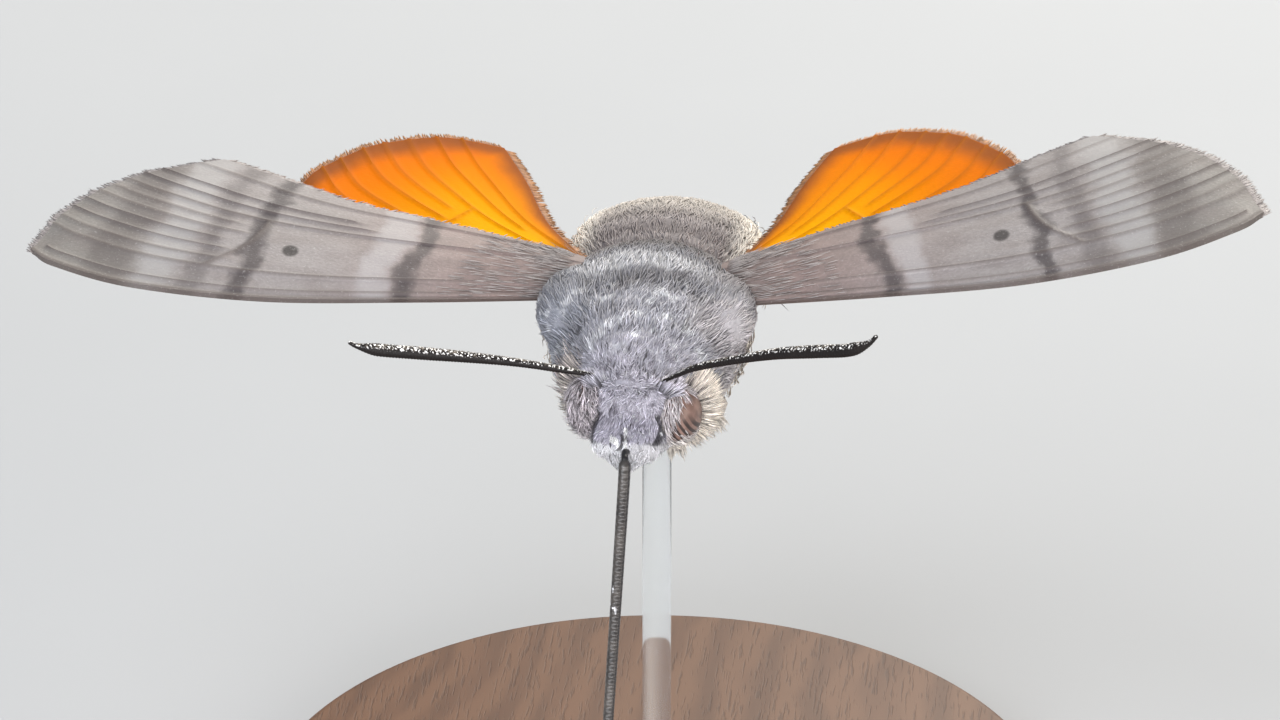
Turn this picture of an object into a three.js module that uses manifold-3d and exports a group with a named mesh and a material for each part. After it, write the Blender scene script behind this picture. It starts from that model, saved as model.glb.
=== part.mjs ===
// Hummingbird hawk moth, life size, held in its hover by a plain display stand.
// Millimetres, +Z up. The moth faces -Y and its own left side is +X.
// The origin is the centre of the stand base's underside.
import * as THREE from "three";
import { mergeVertices } from "three/addons/utils/BufferGeometryUtils.js";
import Module from "manifold-3d";

const wasm = await Module();
wasm.setup();

// Driving sizes. Places on the moth are given from the middle of its thorax.
const GAP = 0.3; // air kept between neighbouring pieces
const CARRY = 27.5; // height of the thorax middle over the floor
const ROD_BEHIND = 3.4; // the rod stands this far behind the thorax middle

const BASE = { radius: 17, height: 3, bevel: 0.5 };
const ROD = { radius: 0.6, sides: 16 };

const THORAX = { front: -4.8, back: 4.6, width: 4.45, top: 3.5, bottom: 3.3 };
const COLLAR = { front: -5.6, back: -3.5, width: 3.05, height: 2.75, drop: -0.25 };
const TEGULA = { middle: [3.35, -1.3, 2.2], half: [1.6, 2.5, 1.65], proud: 0.45, sunk: 0.8 };

const HEAD = { middle: [0.25, -6.5, -0.45], half: [2.3, 1.85, 1.95], turn: -12 };
const EYE = { place: [1.75, -0.2, 0.15], half: [0.9, 1.15, 1.12] };
const PALP = { width: 0.68, depth: 0.55 };
const ANTENNA = {
  place: [1.4, -0.5, 1.5],
  length: 9.8,
  sweep: 20,
  root: 0.25,
  club: 0.29,
  tip: 0.09,
  rise: { left: 4.9, right: 1.7 }, // height gained from root to tip
};
const PROBOSCIS = { radius: 0.25, knee: 0.9, hang: 22.6, lean: 27, aside: 1.5 };

const ABDOMEN = {
  front: 3.4,
  length: 14.4,
  width: 4.2,
  height: 2.72,
  segments: 7,
  start: 8, // droop of its middle line at the front, in degrees
  end: 31, // and at its last ring
};
const FAN = {
  length: 4.3,
  spread: 34, // turn of its outermost locks, in degrees
  width: 0.62,
  depth: 0.27,
  root: 0.75, // its locks start this far behind the last ring
  tiers: [
    { count: 8, lift: 0.42, reach: 1 },
    { count: 7, lift: -0.4, reach: 0.93 },
  ],
};

const MEMBRANE = 0.5; // thickness of a wing between its veins
const RIM = 0.34; // and at its edges
const VEIN = { rise: 0.16, spread: 0.018 }; // height on each face, and half width on the chord
const STROKE = { left: 16, right: 6 }; // how far each side's wings are raised

const radians = THREE.MathUtils.degToRad;
const vector = (p) => new THREE.Vector3(...p);
const sum = (a, b) => a.map((v, i) => v + b[i]);
const spline = (points) => new THREE.CatmullRomCurve3(points.map(vector));

// Solids

// A closed mesh as a solid that can be joined and cut.
function solid(geometry) {
  const loose = geometry.index ? geometry.toNonIndexed() : geometry;
  const bare = new THREE.BufferGeometry();
  bare.setAttribute("position", loose.getAttribute("position"));
  const merged = mergeVertices(bare, 1e-4);
  const triVerts = new Uint32Array(merged.index.array);
  const vertProperties = merged.attributes.position.array;
  const made = new wasm.Manifold(new wasm.Mesh({ numProp: 3, vertProperties, triVerts }));
  if (made.volume() > 0) return made;
  const turned = triVerts.map((_, i) => triVerts[i % 3 === 0 ? i + 1 : i % 3 === 1 ? i - 1 : i]);
  return new wasm.Manifold(new wasm.Mesh({ numProp: 3, vertProperties, triVerts: turned }));
}

const join = (solids) => solids.reduce((a, b) => a.add(b));
const cut = (made, ...others) => others.reduce((a, b) => a.subtract(b), made);
const largest = (made) => made.decompose().reduce((a, b) => (a.volume() > b.volume() ? a : b));

function geometryOf(made) {
  const mesh = made.getMesh();
  const geometry = new THREE.BufferGeometry();
  geometry.setAttribute("position", new THREE.BufferAttribute(mesh.vertProperties.slice(), 3));
  geometry.setIndex(new THREE.BufferAttribute(mesh.triVerts.slice(), 1));
  return geometry;
}

const moved = (made, matrix) => solid(geometryOf(made).applyMatrix4(matrix));
const mirrored = (made, side) => (side > 0 ? made : moved(made, new THREE.Matrix4().makeScale(-1, 1, 1)));
const bothSides = (made) => made.add(mirrored(made, -1));
const outward = ([x, y, z], side) => [side * x, y, z];

// A named mesh that turns about its pivot, the point where it grows from its neighbour.
function piece(name, made, material, pivot = [0, 0, 0]) {
  const geometry = geometryOf(largest(made));
  geometry.translate(...pivot.map((v) => -v));
  geometry.computeVertexNormals();
  const mesh = new THREE.Mesh(geometry, material);
  mesh.name = name;
  mesh.position.set(...pivot);
  return mesh;
}

// Moves every vertex of a geometry to where place(x, y, z) says.
function reshape(geometry, place) {
  const at = geometry.getAttribute("position");
  for (let i = 0; i < at.count; i++) {
    at.setXYZ(i, ...place(at.getX(i), at.getY(i), at.getZ(i)));
  }
  return geometry;
}

function ellipsoid(middle, half, around, rings) {
  const ball = new THREE.SphereGeometry(1, around, rings);
  return solid(reshape(ball, (...p) => p.map((v, i) => middle[i] + v * half[i])));
}

// A tube along a curve. radius(t) is its half width, and flat its depth as a share of that.
function tube(curve, radius, { sides = 6, steps = 4, flat = 1, up = [0, 0, 1] } = {}) {
  const upward = vector(up);
  return solid(
    reshape(new THREE.CylinderGeometry(1, 1, 1, sides, steps), (x, y, z) => {
      const t = y + 0.5;
      const tangent = curve.getTangent(t);
      const side = tangent.clone().cross(upward).normalize();
      const normal = side.clone().cross(tangent);
      const point = curve.getPoint(t).addScaledVector(side, x * radius(t));
      return point.addScaledVector(normal, z * radius(t) * flat).toArray();
    }),
  );
}

// A flat lock of scales: broad past its root, tapered to its tip, its end bent by sag. flat is its
// thickness as a share of its width, and a grown lock is round to clear the flat one all over.
function lock(root, direction, length, width, { sag = [0, 0, 0], flat, up = [0, 0, 1], grow = 0 }) {
  const start = vector(root);
  const way = vector(direction).normalize();
  const middle = start.clone().addScaledVector(way, length * 0.5);
  const end = start.clone().addScaledVector(way, length + grow).add(vector(sag));
  const taper = (t) => width * (0.55 + 1.3 * t - 1.72 * t * t) + grow;
  const line = new THREE.QuadraticBezierCurve3(start, middle, end);
  return tube(line, taper, { sides: 5, steps: 3, flat: grow > 0 ? 1 : flat, up });
}

// Thorax and collar

// Thorax: an egg of flight muscle under its coat. grow swells it evenly.
function thoraxForm(grow = 0) {
  const middle = (THORAX.back + THORAX.front) / 2;
  const length = (THORAX.back - THORAX.front) / 2 + grow;
  return solid(
    reshape(new THREE.SphereGeometry(1, 24, 16), (x, y, z) => [
      x * (THORAX.width + grow),
      middle + y * length,
      z * ((z > 0 ? THORAX.top : THORAX.bottom) + grow),
    ]),
  );
}

// A point on the thorax: turn is 0 at its left side and 90 on top, and share runs from -1 at its
// front to 1 at its back.
function onThorax(turn, share, out = 0) {
  const ring = Math.sqrt(1 - share * share);
  const height = turn > 0 ? THORAX.top : THORAX.bottom;
  return [
    Math.cos(radians(turn)) * (THORAX.width * ring + out),
    (THORAX.back + THORAX.front) / 2 + (share * (THORAX.back - THORAX.front)) / 2,
    Math.sin(radians(turn)) * (height * ring + out),
  ];
}

// Pale long scales on the flank and breast of the thorax, left side. share says how far back a
// row stands, and turns are its places round the thorax below the wings.
const BREAST_ROWS = [
  { share: -0.3, turns: [-12, -32, -52], length: 2.3 },
  { share: 0.12, turns: [-20, -42, -64], length: 2.4 },
];
const BODY_LOCK = { width: 0.72, flat: 0.42, sunk: 0.35 };

function breastLocks(grow = 0) {
  const locks = BREAST_ROWS.flatMap(({ share, turns, length }) =>
    turns.map((turn) => {
      const out = vector(onThorax(turn, share, 1)).sub(vector(onThorax(turn, share))).normalize();
      const lie = [out.x * 0.42, 0.9, out.z * 0.42];
      const shape = { flat: BODY_LOCK.flat, up: out.toArray(), grow };
      return lock(onThorax(turn, share, -BODY_LOCK.sunk), lie, length, BODY_LOCK.width, shape);
    }),
  );
  return join(locks);
}

function collarForm(grow = 0) {
  const middle = [0, (COLLAR.front + COLLAR.back) / 2, COLLAR.drop];
  const half = [COLLAR.width + grow, (COLLAR.back - COLLAR.front) / 2 + grow, COLLAR.height + grow];
  return ellipsoid(middle, half, 18, 7);
}

// The ruff of pale locks that the collar spreads behind the cheeks, left side. Their roots sit a
// share of the collar's half width out.
const RUFF = { turns: [2, -20, -42, -64], seat: 0.84, length: 2 };

function ruffLocks(grow = 0) {
  const locks = RUFF.turns.map((turn, i) => {
    const across = Math.cos(radians(turn));
    const rise = Math.sin(radians(turn));
    const x = across * COLLAR.width * RUFF.seat;
    const z = COLLAR.drop + rise * COLLAR.height * RUFF.seat;
    const lie = [across * 0.85, 0.7, rise * 0.85];
    const shape = { flat: BODY_LOCK.flat, up: [across, -0.4, rise], sag: [0, 0.3, 0], grow };
    return lock([x, COLLAR.front + 0.85, z], lie, RUFF.length - 0.1 * i, BODY_LOCK.width, shape);
  });
  return join(locks);
}

// Head

// The head turns a little on the neck, and all that grows from it turns with it.
const NECK = new THREE.Matrix4()
  .makeTranslation(0, COLLAR.front, 0)
  .multiply(new THREE.Matrix4().makeRotationZ(radians(HEAD.turn)))
  .multiply(new THREE.Matrix4().makeTranslation(0, -COLLAR.front, 0));
const turned = (made) => moved(made, NECK);
const onHead = (x, y, z) => sum(HEAD.middle, [x, y, z]);

// Cranium, narrower towards the chin.
function headForm(grow = 0) {
  return turned(
    solid(
      reshape(new THREE.SphereGeometry(1, 20, 14), (x, y, z) =>
        onHead(
          x * (HEAD.half[0] * (1 + 0.12 * z) + grow),
          y * (HEAD.half[1] + grow),
          z * (HEAD.half[2] + grow),
        ),
      ),
    ),
  );
}

function eyeForm(side, grow = 0) {
  const [x, y, z] = EYE.place;
  const half = EYE.half.map((v) => v + grow);
  return turned(ellipsoid(onHead(side * x, y, z), half, 16, 10));
}

// Palp: a broad lobe that curls up in front of the face beside the mouth.
function palpForm(side, grow = 0) {
  const x = side * (PALP.width + GAP / 2);
  const line = spline([
    onHead(x, 0.1 + grow, -1.5),
    onHead(x, -1.1, -1.55),
    onHead(x, -2.05, -1),
    onHead(x, -2.45, -0.15),
    onHead(x * 0.95, -2.25, 0.6 + grow),
  ]);
  const blunt = (t) => Math.sqrt(Math.max(0.06, 1 - Math.abs(2 * t - 0.9) ** 3.5));
  const girth = (t) => PALP.width * blunt(t) + grow * 1.25;
  const flat = (PALP.depth + grow) / (PALP.width + grow);
  return turned(tube(line, girth, { sides: 9, steps: 7, flat, up: [0, 0.5, 1] }));
}

// Antenna: a bulb at the root, then a shaft that thickens to a long club with a fine hooked tip.
function antennaLine(side, rise) {
  const sweep = radians(ANTENNA.sweep);
  const at = (share, lift, back = 0) => {
    const out = share * ANTENNA.length;
    const [x, y, z] = ANTENNA.place;
    return onHead(side * (x + out * Math.cos(sweep)), y - out * Math.sin(sweep) + back, z + lift * rise);
  };
  return spline([
    at(-0.05, -0.12),
    at(0.14, 0.24),
    at(0.33, 0.45),
    at(0.53, 0.59),
    at(0.72, 0.72),
    at(0.87, 0.85),
    at(0.98, 1, 0.15),
  ]);
}

function antennaForm(side, rise) {
  const girth = (t) => {
    if (t < 0.06) return ANTENNA.root * 1.45;
    if (t > 0.84) return THREE.MathUtils.mapLinear(t, 0.84, 1, ANTENNA.club, ANTENNA.tip);
    return THREE.MathUtils.mapLinear(t, 0, 0.84, ANTENNA.root, ANTENNA.club);
  };
  return turned(tube(antennaLine(side, rise), girth, { sides: 7, steps: 16 }));
}

// Proboscis: out between the palps, over a knee, then straight down, leaning forwards.
function proboscisLine() {
  const lean = radians(PROBOSCIS.lean);
  const down = new THREE.Vector3(-Math.sin(radians(PROBOSCIS.aside)), -Math.sin(lean), -Math.cos(lean));
  const mouth = vector(onHead(0.1, -1.2, -0.85)).applyMatrix4(NECK);
  const knee = vector(onHead(0.47, -2.2 - PROBOSCIS.knee, -0.6)).applyMatrix4(NECK);
  const crest = knee.clone().add(new THREE.Vector3(-0.05, 0.5, 0.12));
  const drops = [0.03, 0.35, 0.7, 1].map((share) =>
    knee.clone().addScaledVector(down, PROBOSCIS.hang * share),
  );
  return new THREE.CatmullRomCurve3([mouth, crest, ...drops], false, "centripetal");
}

function proboscisForm(from, to, steps, grow = 0) {
  const line = proboscisLine();
  const stretch = new THREE.Curve();
  stretch.getPoint = (t) => line.getPointAt(THREE.MathUtils.lerp(from, to, t));
  const girth = (t) => {
    const along = THREE.MathUtils.lerp(from, to, t);
    return grow + PROBOSCIS.radius * (along > 0.9 ? 1 - 6 * (along - 0.9) : 1);
  };
  return tube(stretch, girth, { sides: 7, steps, up: [0, -1, 0.45] });
}

// Abdomen

// A point in the abdomen's own run: along is measured down its bent middle line, and the line's
// slope grows from ABDOMEN.start to ABDOMEN.end.
function behind([x, along, z]) {
  const start = radians(ABDOMEN.start);
  const bend = (radians(ABDOMEN.end) - start) / ABDOMEN.length;
  const slope = start + bend * along;
  return [
    x,
    ABDOMEN.front + (Math.sin(slope) - Math.sin(start)) / bend + z * Math.sin(slope),
    (Math.cos(slope) - Math.cos(start)) / bend + z * Math.cos(slope),
  ];
}

// Half width at a share of the abdomen's length, as a share of its widest.
const girthOfAbdomen = (share) => 0.93 + 0.32 * share - 0.64 * share * share;

// Rings that overlap from front to back, each with a step at its rear edge.
function abdomenForm(grow = 0) {
  const { segments, length, width, height } = ABDOMEN;
  const profile = [new THREE.Vector2(0, -grow)];
  for (let i = 0; i < segments; i++) {
    const [head, tail] = [i / segments, (i + 1) / segments];
    profile.push(new THREE.Vector2(girthOfAbdomen(head) * (i ? 0.955 : 0.8), head * length));
    profile.push(new THREE.Vector2(girthOfAbdomen(tail) * 1.02, (tail - 0.012) * length));
  }
  profile.push(new THREE.Vector2(0, length + grow));
  return solid(
    reshape(new THREE.LatheGeometry(profile, 20), (x, y, z) => {
      const deep = height * (1 - 0.15 * Math.min(1, y / length));
      return behind([x * (width + grow), y, z * (deep + grow)]);
    }),
  );
}

// Side tufts: flat locks along the left flank, two to a ring from the third ring back.
const FLANK = { from: 2, lifts: [-0.8, 0.5], seat: 0.82, length: 2.4, width: 0.66, splay: 0.95 };

function flankTufts(grow = 0) {
  const tufts = [];
  for (let i = FLANK.from; i < ABDOMEN.segments; i++) {
    for (const lift of FLANK.lifts) {
      const share = (i + 0.4) / ABDOMEN.segments;
      const out = ABDOMEN.width * girthOfAbdomen(share) * FLANK.seat;
      const root = behind([out, share * ABDOMEN.length, lift]);
      const ahead = behind([out + FLANK.splay, share * ABDOMEN.length + 2, lift * 1.2]);
      const lie = vector(ahead).sub(vector(root)).toArray();
      const shape = { flat: BODY_LOCK.flat, up: [0.9, 0, 0.4], sag: [-0.2, 0, 0], grow };
      tufts.push(lock(root, lie, FLANK.length, FLANK.width, shape));
    }
  }
  return join(tufts);
}

// Tail fan: two tiers of long flat scale locks spread from the last ring over a short core.
function fanForm() {
  const half = ABDOMEN.width * girthOfAbdomen(1);
  const seat = half * 0.62;
  const core = reshape(new THREE.SphereGeometry(1, 14, 8), (x, y, z) =>
    behind([x * half * 0.88, ABDOMEN.length + 0.6 + y * 1.2, z * 1.35]),
  );
  const locks = FAN.tiers.flatMap(({ count, lift, reach }) =>
    Array.from({ length: count }, (_, i) => {
      const across = (2 * i) / (count - 1) - 1;
      const turn = radians(across * FAN.spread);
      const along = ABDOMEN.length + FAN.root;
      const root = behind([across * seat, along - 0.45 * across * across, lift]);
      const ahead = behind([
        across * seat + Math.sin(turn) * FAN.length,
        along + Math.cos(turn) * FAN.length,
        lift * 0.3,
      ]);
      const lie = vector(ahead).sub(vector(root)).toArray();
      const length = FAN.length * reach * (1 - 0.12 * Math.abs(across));
      return lock(root, lie, length, FAN.width, { flat: FAN.depth / FAN.width, up: [0, 0.5, 0.9] });
    }),
  );
  return join([solid(core), ...locks]);
}

// Wings

// A wing's outline in its own plane: span outwards, chord backwards. Its veins run from root to
// edge at a share of the chord, and its cell is closed by a cross vein.
const curve2 = (points) => new THREE.SplineCurve(points.map(([x, y]) => new THREE.Vector2(x, y)));
const FOREWING = {
  leading: curve2([[-0.9, 0], [6, -0.55], [12, -0.75], [17.2, 0], [20.3, 1.4], [21.2, 2.5]]),
  outer: curve2([[21.2, 2.5], [19.7, 5.1], [17.1, 7.3], [13.6, 8.9]]),
  trailing: curve2([[-0.9, 2.6], [3.6, 4.1], [8.4, 5.7], [11.6, 7.5], [13.6, 8.9]]),
  veins: [
    { across: 0.07, from: 0.1, to: 0.86 },
    { across: 0.2, from: 0.1, to: 1 },
    { across: 0.35, from: 0.52, to: 1 },
    { across: 0.49, from: 0.52, to: 1 },
    { across: 0.63, from: 0.1, to: 1 },
    { across: 0.77, from: 0.4, to: 1 },
    { across: 0.91, from: 0.1, to: 1 },
  ],
  cell: { along: 0.52, from: 0.2, to: 0.63 },
  stations: 8,
  camber: 0.5,
  bend: 0.9,
};
const HINDWING = {
  leading: curve2([[-0.9, 0], [3.5, -0.5], [7.5, -0.45], [10.9, 0.6], [12, 2.3]]),
  outer: curve2([[12, 2.3], [11.2, 5.2], [9.2, 7.7], [6.6, 9.1], [4.1, 9.3]]),
  trailing: curve2([[-0.9, 1.9], [1.3, 4.2], [2.7, 6.9], [4.1, 9.3]]),
  veins: [
    { across: 0.1, from: 0.1, to: 0.9 },
    { across: 0.28, from: 0.1, to: 1 },
    { across: 0.45, from: 0.48, to: 1 },
    { across: 0.62, from: 0.1, to: 1 },
    { across: 0.82, from: 0.1, to: 1 },
  ],
  cell: { along: 0.48, from: 0.28, to: 0.62 },
  stations: 6,
  camber: 0.35,
  bend: 0.35,
};
const FORE_SET = { hinge: [3.4, -0.8, 1.45], sweep: 8, pitch: 13 };
const HIND_SET = { hinge: [3.75, 1.7, 0.6], sweep: -4, pitch: 10 };

// A smooth patch between a wing's four edges.
function patch(wing, along, across) {
  const inner = wing.leading.getPoint(0).lerp(wing.trailing.getPoint(0), across);
  const corner = wing.leading.getPoint(0).lerp(wing.leading.getPoint(1), along);
  const heel = wing.trailing.getPoint(0).lerp(wing.trailing.getPoint(1), along);
  return wing.leading
    .getPoint(along)
    .lerp(wing.trailing.getPoint(along), across)
    .add(inner.lerp(wing.outer.getPoint(across), along))
    .sub(corner.lerp(heel, across));
}

// Lines of a wing's grid across its chord, three to each vein.
function linesAcross({ veins }) {
  const marks = veins.flatMap(({ across }) => [across - VEIN.spread, across, across + VEIN.spread]);
  return [0, ...marks, 1];
}

// Lines of the grid along the span, with three at the cross vein.
function linesAlong({ stations, cell }) {
  const marks = [cell.along - VEIN.spread, cell.along, cell.along + VEIN.spread];
  for (let i = 0; i <= stations; i++) {
    marks.push(i / stations);
  }
  return marks.sort((a, b) => a - b);
}

function veinRise({ cell, veins }, along, across) {
  const onVein = veins.some((v) => v.across === across && along >= v.from && along <= v.to);
  const onCell = along === cell.along && across >= cell.from && across <= cell.to;
  return onVein || onCell ? VEIN.rise : 0;
}

// The wing as a closed sheet with its veins raised. Both faces are split into triangles alike, so
// they never cross. grow thickens it and widens it past its front and rear edges.
function wingSheet(wing, grow = 0) {
  const [rows, columns] = [linesAlong(wing), linesAcross(wing)];
  const points = [];
  for (const face of [1, -1]) {
    for (const along of rows) {
      for (const across of columns) {
        const edge = along === 1 || across === 0 || across === 1;
        const half = edge ? RIM / 2 : MEMBRANE / 2 + veinRise(wing, along, across);
        const crown = wing.camber * 4 * across * (1 - across) * (1 - 0.5 * along);
        const { x, y } = patch(wing, along, across);
        const wider = grow * 1.5 * (2 * across - 1);
        points.push(x, y + wider, crown - wing.bend * along * along + face * (half + grow));
      }
    }
  }
  const under = rows.length * columns.length;
  const faces = [];
  const quad = (a, b, c, d) => faces.push(a, b, c, a, c, d);
  for (let i = 0; i + 1 < rows.length; i++) {
    const [near, far] = [i * columns.length, (i + 1) * columns.length];
    for (let j = 0; j + 1 < columns.length; j++) {
      quad(near + j, far + j, far + j + 1, near + j + 1);
      faces.push(under + near + j, under + far + j + 1, under + far + j);
      faces.push(under + near + j, under + near + j + 1, under + far + j + 1);
    }
    const end = columns.length - 1;
    quad(under + near, under + far, far, near);
    quad(near + end, far + end, under + far + end, under + near + end);
  }
  const tip = (rows.length - 1) * columns.length;
  for (let j = 0; j + 1 < columns.length; j++) {
    quad(j, j + 1, under + j + 1, under + j);
    quad(under + tip + j, under + tip + j + 1, tip + j + 1, tip + j);
  }
  const geometry = new THREE.BufferGeometry();
  geometry.setAttribute("position", new THREE.Float32BufferAttribute(points, 3));
  geometry.setIndex(faces);
  return solid(geometry);
}

// Sets a left wing in its stroke: swept in its own plane, pitched, then raised at its hinge.
function setWing(made, { hinge, sweep, pitch }, raise) {
  const stance = new THREE.Matrix4()
    .makeTranslation(...hinge)
    .multiply(new THREE.Matrix4().makeRotationY(-radians(raise)))
    .multiply(new THREE.Matrix4().makeRotationX(radians(pitch)))
    .multiply(new THREE.Matrix4().makeRotationZ(-radians(sweep)));
  return moved(made, stance);
}

// Tegula: the shield of scales over the root of the left forewing, sunk in the shoulder.
const tegulaBlob = (grow) => ellipsoid(TEGULA.middle, TEGULA.half.map((v) => v + grow), 12, 7);
const tegulaForm = () =>
  tegulaBlob(0).intersect(thoraxForm(TEGULA.proud)).subtract(thoraxForm(-TEGULA.sunk));
const tegulaPocket = () => tegulaBlob(GAP).subtract(thoraxForm(-TEGULA.sunk - GAP));

// Legs

// One folded leg of the left side: hip, thigh, shin with a spur, and a slender foot.
const LEGS = {
  front: { hip: [0.9, -1.9, -2.6], knee: [1.3, -3.1, -3.75], ankle: [1.2, -0.9, -4.3], toe: [1, 2.1, -4.5] },
  middle: { hip: [1.5, -0.2, -2.6], knee: [2.7, -0.9, -3.75], ankle: [2.7, 2, -4.4], toe: [2.3, 5.9, -5.1] },
  hind: { hip: [1.3, 1.9, -2.6], knee: [1.6, 4, -4.2], ankle: [1.55, 8.1, -5.8], toe: [1.3, 12.6, -8.1] },
};
const LEG = { hip: 0.5, thigh: 0.42, shin: 0.32, foot: 0.27, spur: 1.1 };

function legForm({ hip, knee, ankle, toe }) {
  const limb = (from, to, girth, steps = 1) => {
    const line = new THREE.LineCurve3(vector(from), vector(to));
    return tube(line, girth, { sides: 5, steps });
  };
  const thigh = (t) => THREE.MathUtils.lerp(LEG.hip, LEG.thigh * 0.8, t);
  const foot = (t) => LEG.foot * (t > 0.95 ? 0.4 : 1.1 - 0.3 * t);
  const shin = vector(ankle).sub(vector(knee)).normalize();
  const spurLie = [shin.x + 0.45, shin.y, shin.z - 0.35];
  return join([
    limb(hip, knee, thigh),
    ellipsoid(knee, [LEG.thigh, LEG.thigh, LEG.thigh], 6, 4),
    limb(knee, ankle, () => LEG.shin),
    limb(ankle, toe, foot, 5),
    lock(ankle, spurLie, LEG.spur, LEG.foot, { flat: 0.9 }),
  ]);
}

// Finishes
const finish = (color, roughness) => new THREE.MeshStandardMaterial({ color, roughness, metalness: 0 });
const coatGrey = finish(0x9a99a3, 0.9);
const coatPale = finish(0xd9d4cd, 0.9);
const coatDark = finish(0x4a4240, 0.9);
const eyeBrown = finish(0x6b4a3c, 0.25);
const hornBlack = finish(0x1d1a18, 0.5);
const hornGlossy = finish(0x3a3536, 0.3);
const foreGrey = finish(0x9c918f, 0.75);
const hindOrange = finish(0xf39a14, 0.7);
const walnut = finish(0x6b4a30, 0.5);
const acrylic = finish(0xe8eef0, 0.1);

// Moth
const moth = new THREE.Group();
moth.position.set(0, -ROD_BEHIND, CARRY);

const thoraxClear = thoraxForm(GAP);
const breastClear = bothSides(breastLocks(GAP));
const ruffClear = bothSides(ruffLocks(GAP));
const headClear = headForm(GAP);
const abdomenClear = abdomenForm(GAP);
const tuftsClear = bothSides(flankTufts(GAP));
const proboscisClear = proboscisForm(0, 0.2, 8, 1.3 * GAP);
const palpsClear = join([palpForm(1, GAP), palpForm(-1, GAP)]);
const eyesClear = join([eyeForm(1, GAP), eyeForm(-1, GAP)]);

const pockets = bothSides(tegulaPocket());

const thoraxBody = join([thoraxForm().subtract(pockets), bothSides(breastLocks())]);
moth.add(piece("thorax", thoraxBody, coatGrey));

const collar = join([cut(collarForm(), thoraxClear), bothSides(ruffLocks())]);
moth.add(piece("collar", cut(collar, thoraxClear, headClear, eyesClear), coatGrey));
moth.add(piece("head", cut(headForm(), collarForm(GAP), eyesClear, palpsClear, proboscisClear), coatGrey));
moth.add(piece("abdomen", cut(join([abdomenForm(), bothSides(flankTufts())]), thoraxClear), coatGrey));
moth.add(piece("tail_fan", cut(fanForm(), abdomenForm(2.4 * GAP), tuftsClear), coatDark));

for (const [name, side] of [["left", 1], ["right", -1]]) {
  const fore = setWing(wingSheet(FOREWING), FORE_SET, STROKE[name]);
  const foreClear = setWing(wingSheet(FOREWING, 2 * GAP), FORE_SET, STROKE[name]);
  const hind = setWing(wingSheet(HINDWING), HIND_SET, STROKE[name]);
  const antenna = cut(antennaForm(side, ANTENNA.rise[name]), headClear, eyesClear);
  moth.add(piece(`eye_${name}`, eyeForm(side), eyeBrown));
  moth.add(piece(`palp_${name}`, cut(palpForm(side), eyesClear, proboscisClear), coatPale));
  moth.add(piece(`antenna_${name}`, antenna, hornBlack));
  moth.add(piece(`tegula_${name}`, mirrored(cut(tegulaForm(), foreClear), side), coatGrey));
  const forewing = mirrored(cut(fore, thoraxClear), side);
  const hindwing = mirrored(cut(hind, thoraxClear, abdomenForm(1.5 * GAP)), side);
  moth.add(piece(`forewing_${name}`, forewing, foreGrey, outward(FORE_SET.hinge, side)));
  moth.add(piece(`hindwing_${name}`, hindwing, hindOrange, outward(HIND_SET.hinge, side)));
  for (const [place, leg] of Object.entries(LEGS)) {
    const made = cut(legForm(leg), thoraxClear, abdomenClear, breastClear, ruffClear);
    moth.add(piece(`leg_${place}_${name}`, mirrored(made, side), coatPale, outward(leg.hip, side)));
  }
}

moth.add(piece("proboscis_base", cut(proboscisForm(0, 0.125, 10), headClear), hornGlossy));
moth.add(piece("proboscis_shaft", proboscisForm(0.14, 0.56, 8), hornGlossy));
moth.add(piece("proboscis_tip", proboscisForm(0.575, 1, 12), hornGlossy));

// Stand
const stand = new THREE.Group();
const upright = (geometry) => geometry.rotateX(Math.PI / 2);
const rim = BASE.radius - BASE.bevel;
const baseProfile = [
  [0, 0],
  [rim, 0],
  [BASE.radius, BASE.bevel],
  [BASE.radius, BASE.height - BASE.bevel],
  [rim, BASE.height],
  [0, BASE.height],
].map(([r, y]) => new THREE.Vector2(r, y));
stand.add(piece("stand_base", solid(upright(new THREE.LatheGeometry(baseProfile, 48))), walnut));

const rodFoot = BASE.height + GAP;
const rodLength = CARRY - rodFoot;
const bar = upright(new THREE.CylinderGeometry(ROD.radius, ROD.radius, rodLength, ROD.sides));
bar.translate(0, 0, rodFoot + rodLength / 2);
const bodyClear = join([thoraxClear, abdomenClear]);
const overRod = moved(bodyClear, new THREE.Matrix4().makeTranslation(0, -ROD_BEHIND, CARRY));
stand.add(piece("stand_rod", cut(solid(bar), overRod), acrylic));

const model = new THREE.Group();
model.add(moth, stand);
export default model;
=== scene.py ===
import math
from functools import partialmethod

import bpy
import numpy as np
from mathutils import Matrix, Vector
from mathutils.bvhtree import BVHTree
from mathutils.kdtree import KDTree


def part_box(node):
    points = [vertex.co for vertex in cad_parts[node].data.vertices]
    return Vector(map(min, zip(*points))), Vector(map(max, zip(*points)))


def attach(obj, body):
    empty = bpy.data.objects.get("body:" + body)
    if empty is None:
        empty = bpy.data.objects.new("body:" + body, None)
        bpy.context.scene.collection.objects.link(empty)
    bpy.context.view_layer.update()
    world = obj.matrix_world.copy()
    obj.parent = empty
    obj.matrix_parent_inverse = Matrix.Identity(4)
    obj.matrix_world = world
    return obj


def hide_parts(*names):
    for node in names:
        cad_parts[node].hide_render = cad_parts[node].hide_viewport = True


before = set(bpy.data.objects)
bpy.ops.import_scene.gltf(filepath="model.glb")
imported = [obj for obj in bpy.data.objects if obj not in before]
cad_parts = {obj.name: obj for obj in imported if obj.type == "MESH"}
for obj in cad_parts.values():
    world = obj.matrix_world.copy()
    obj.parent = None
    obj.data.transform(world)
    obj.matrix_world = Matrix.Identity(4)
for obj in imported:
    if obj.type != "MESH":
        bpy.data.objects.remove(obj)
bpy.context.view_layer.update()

# Camera
# It looks down on the moth's face from a little to the moth's left, through a long lens that
# keeps the spread of the wings flat.
MM = 0.001
HOVER = Vector((0, -3.4, 27.5)) * MM  # middle of the thorax
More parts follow.
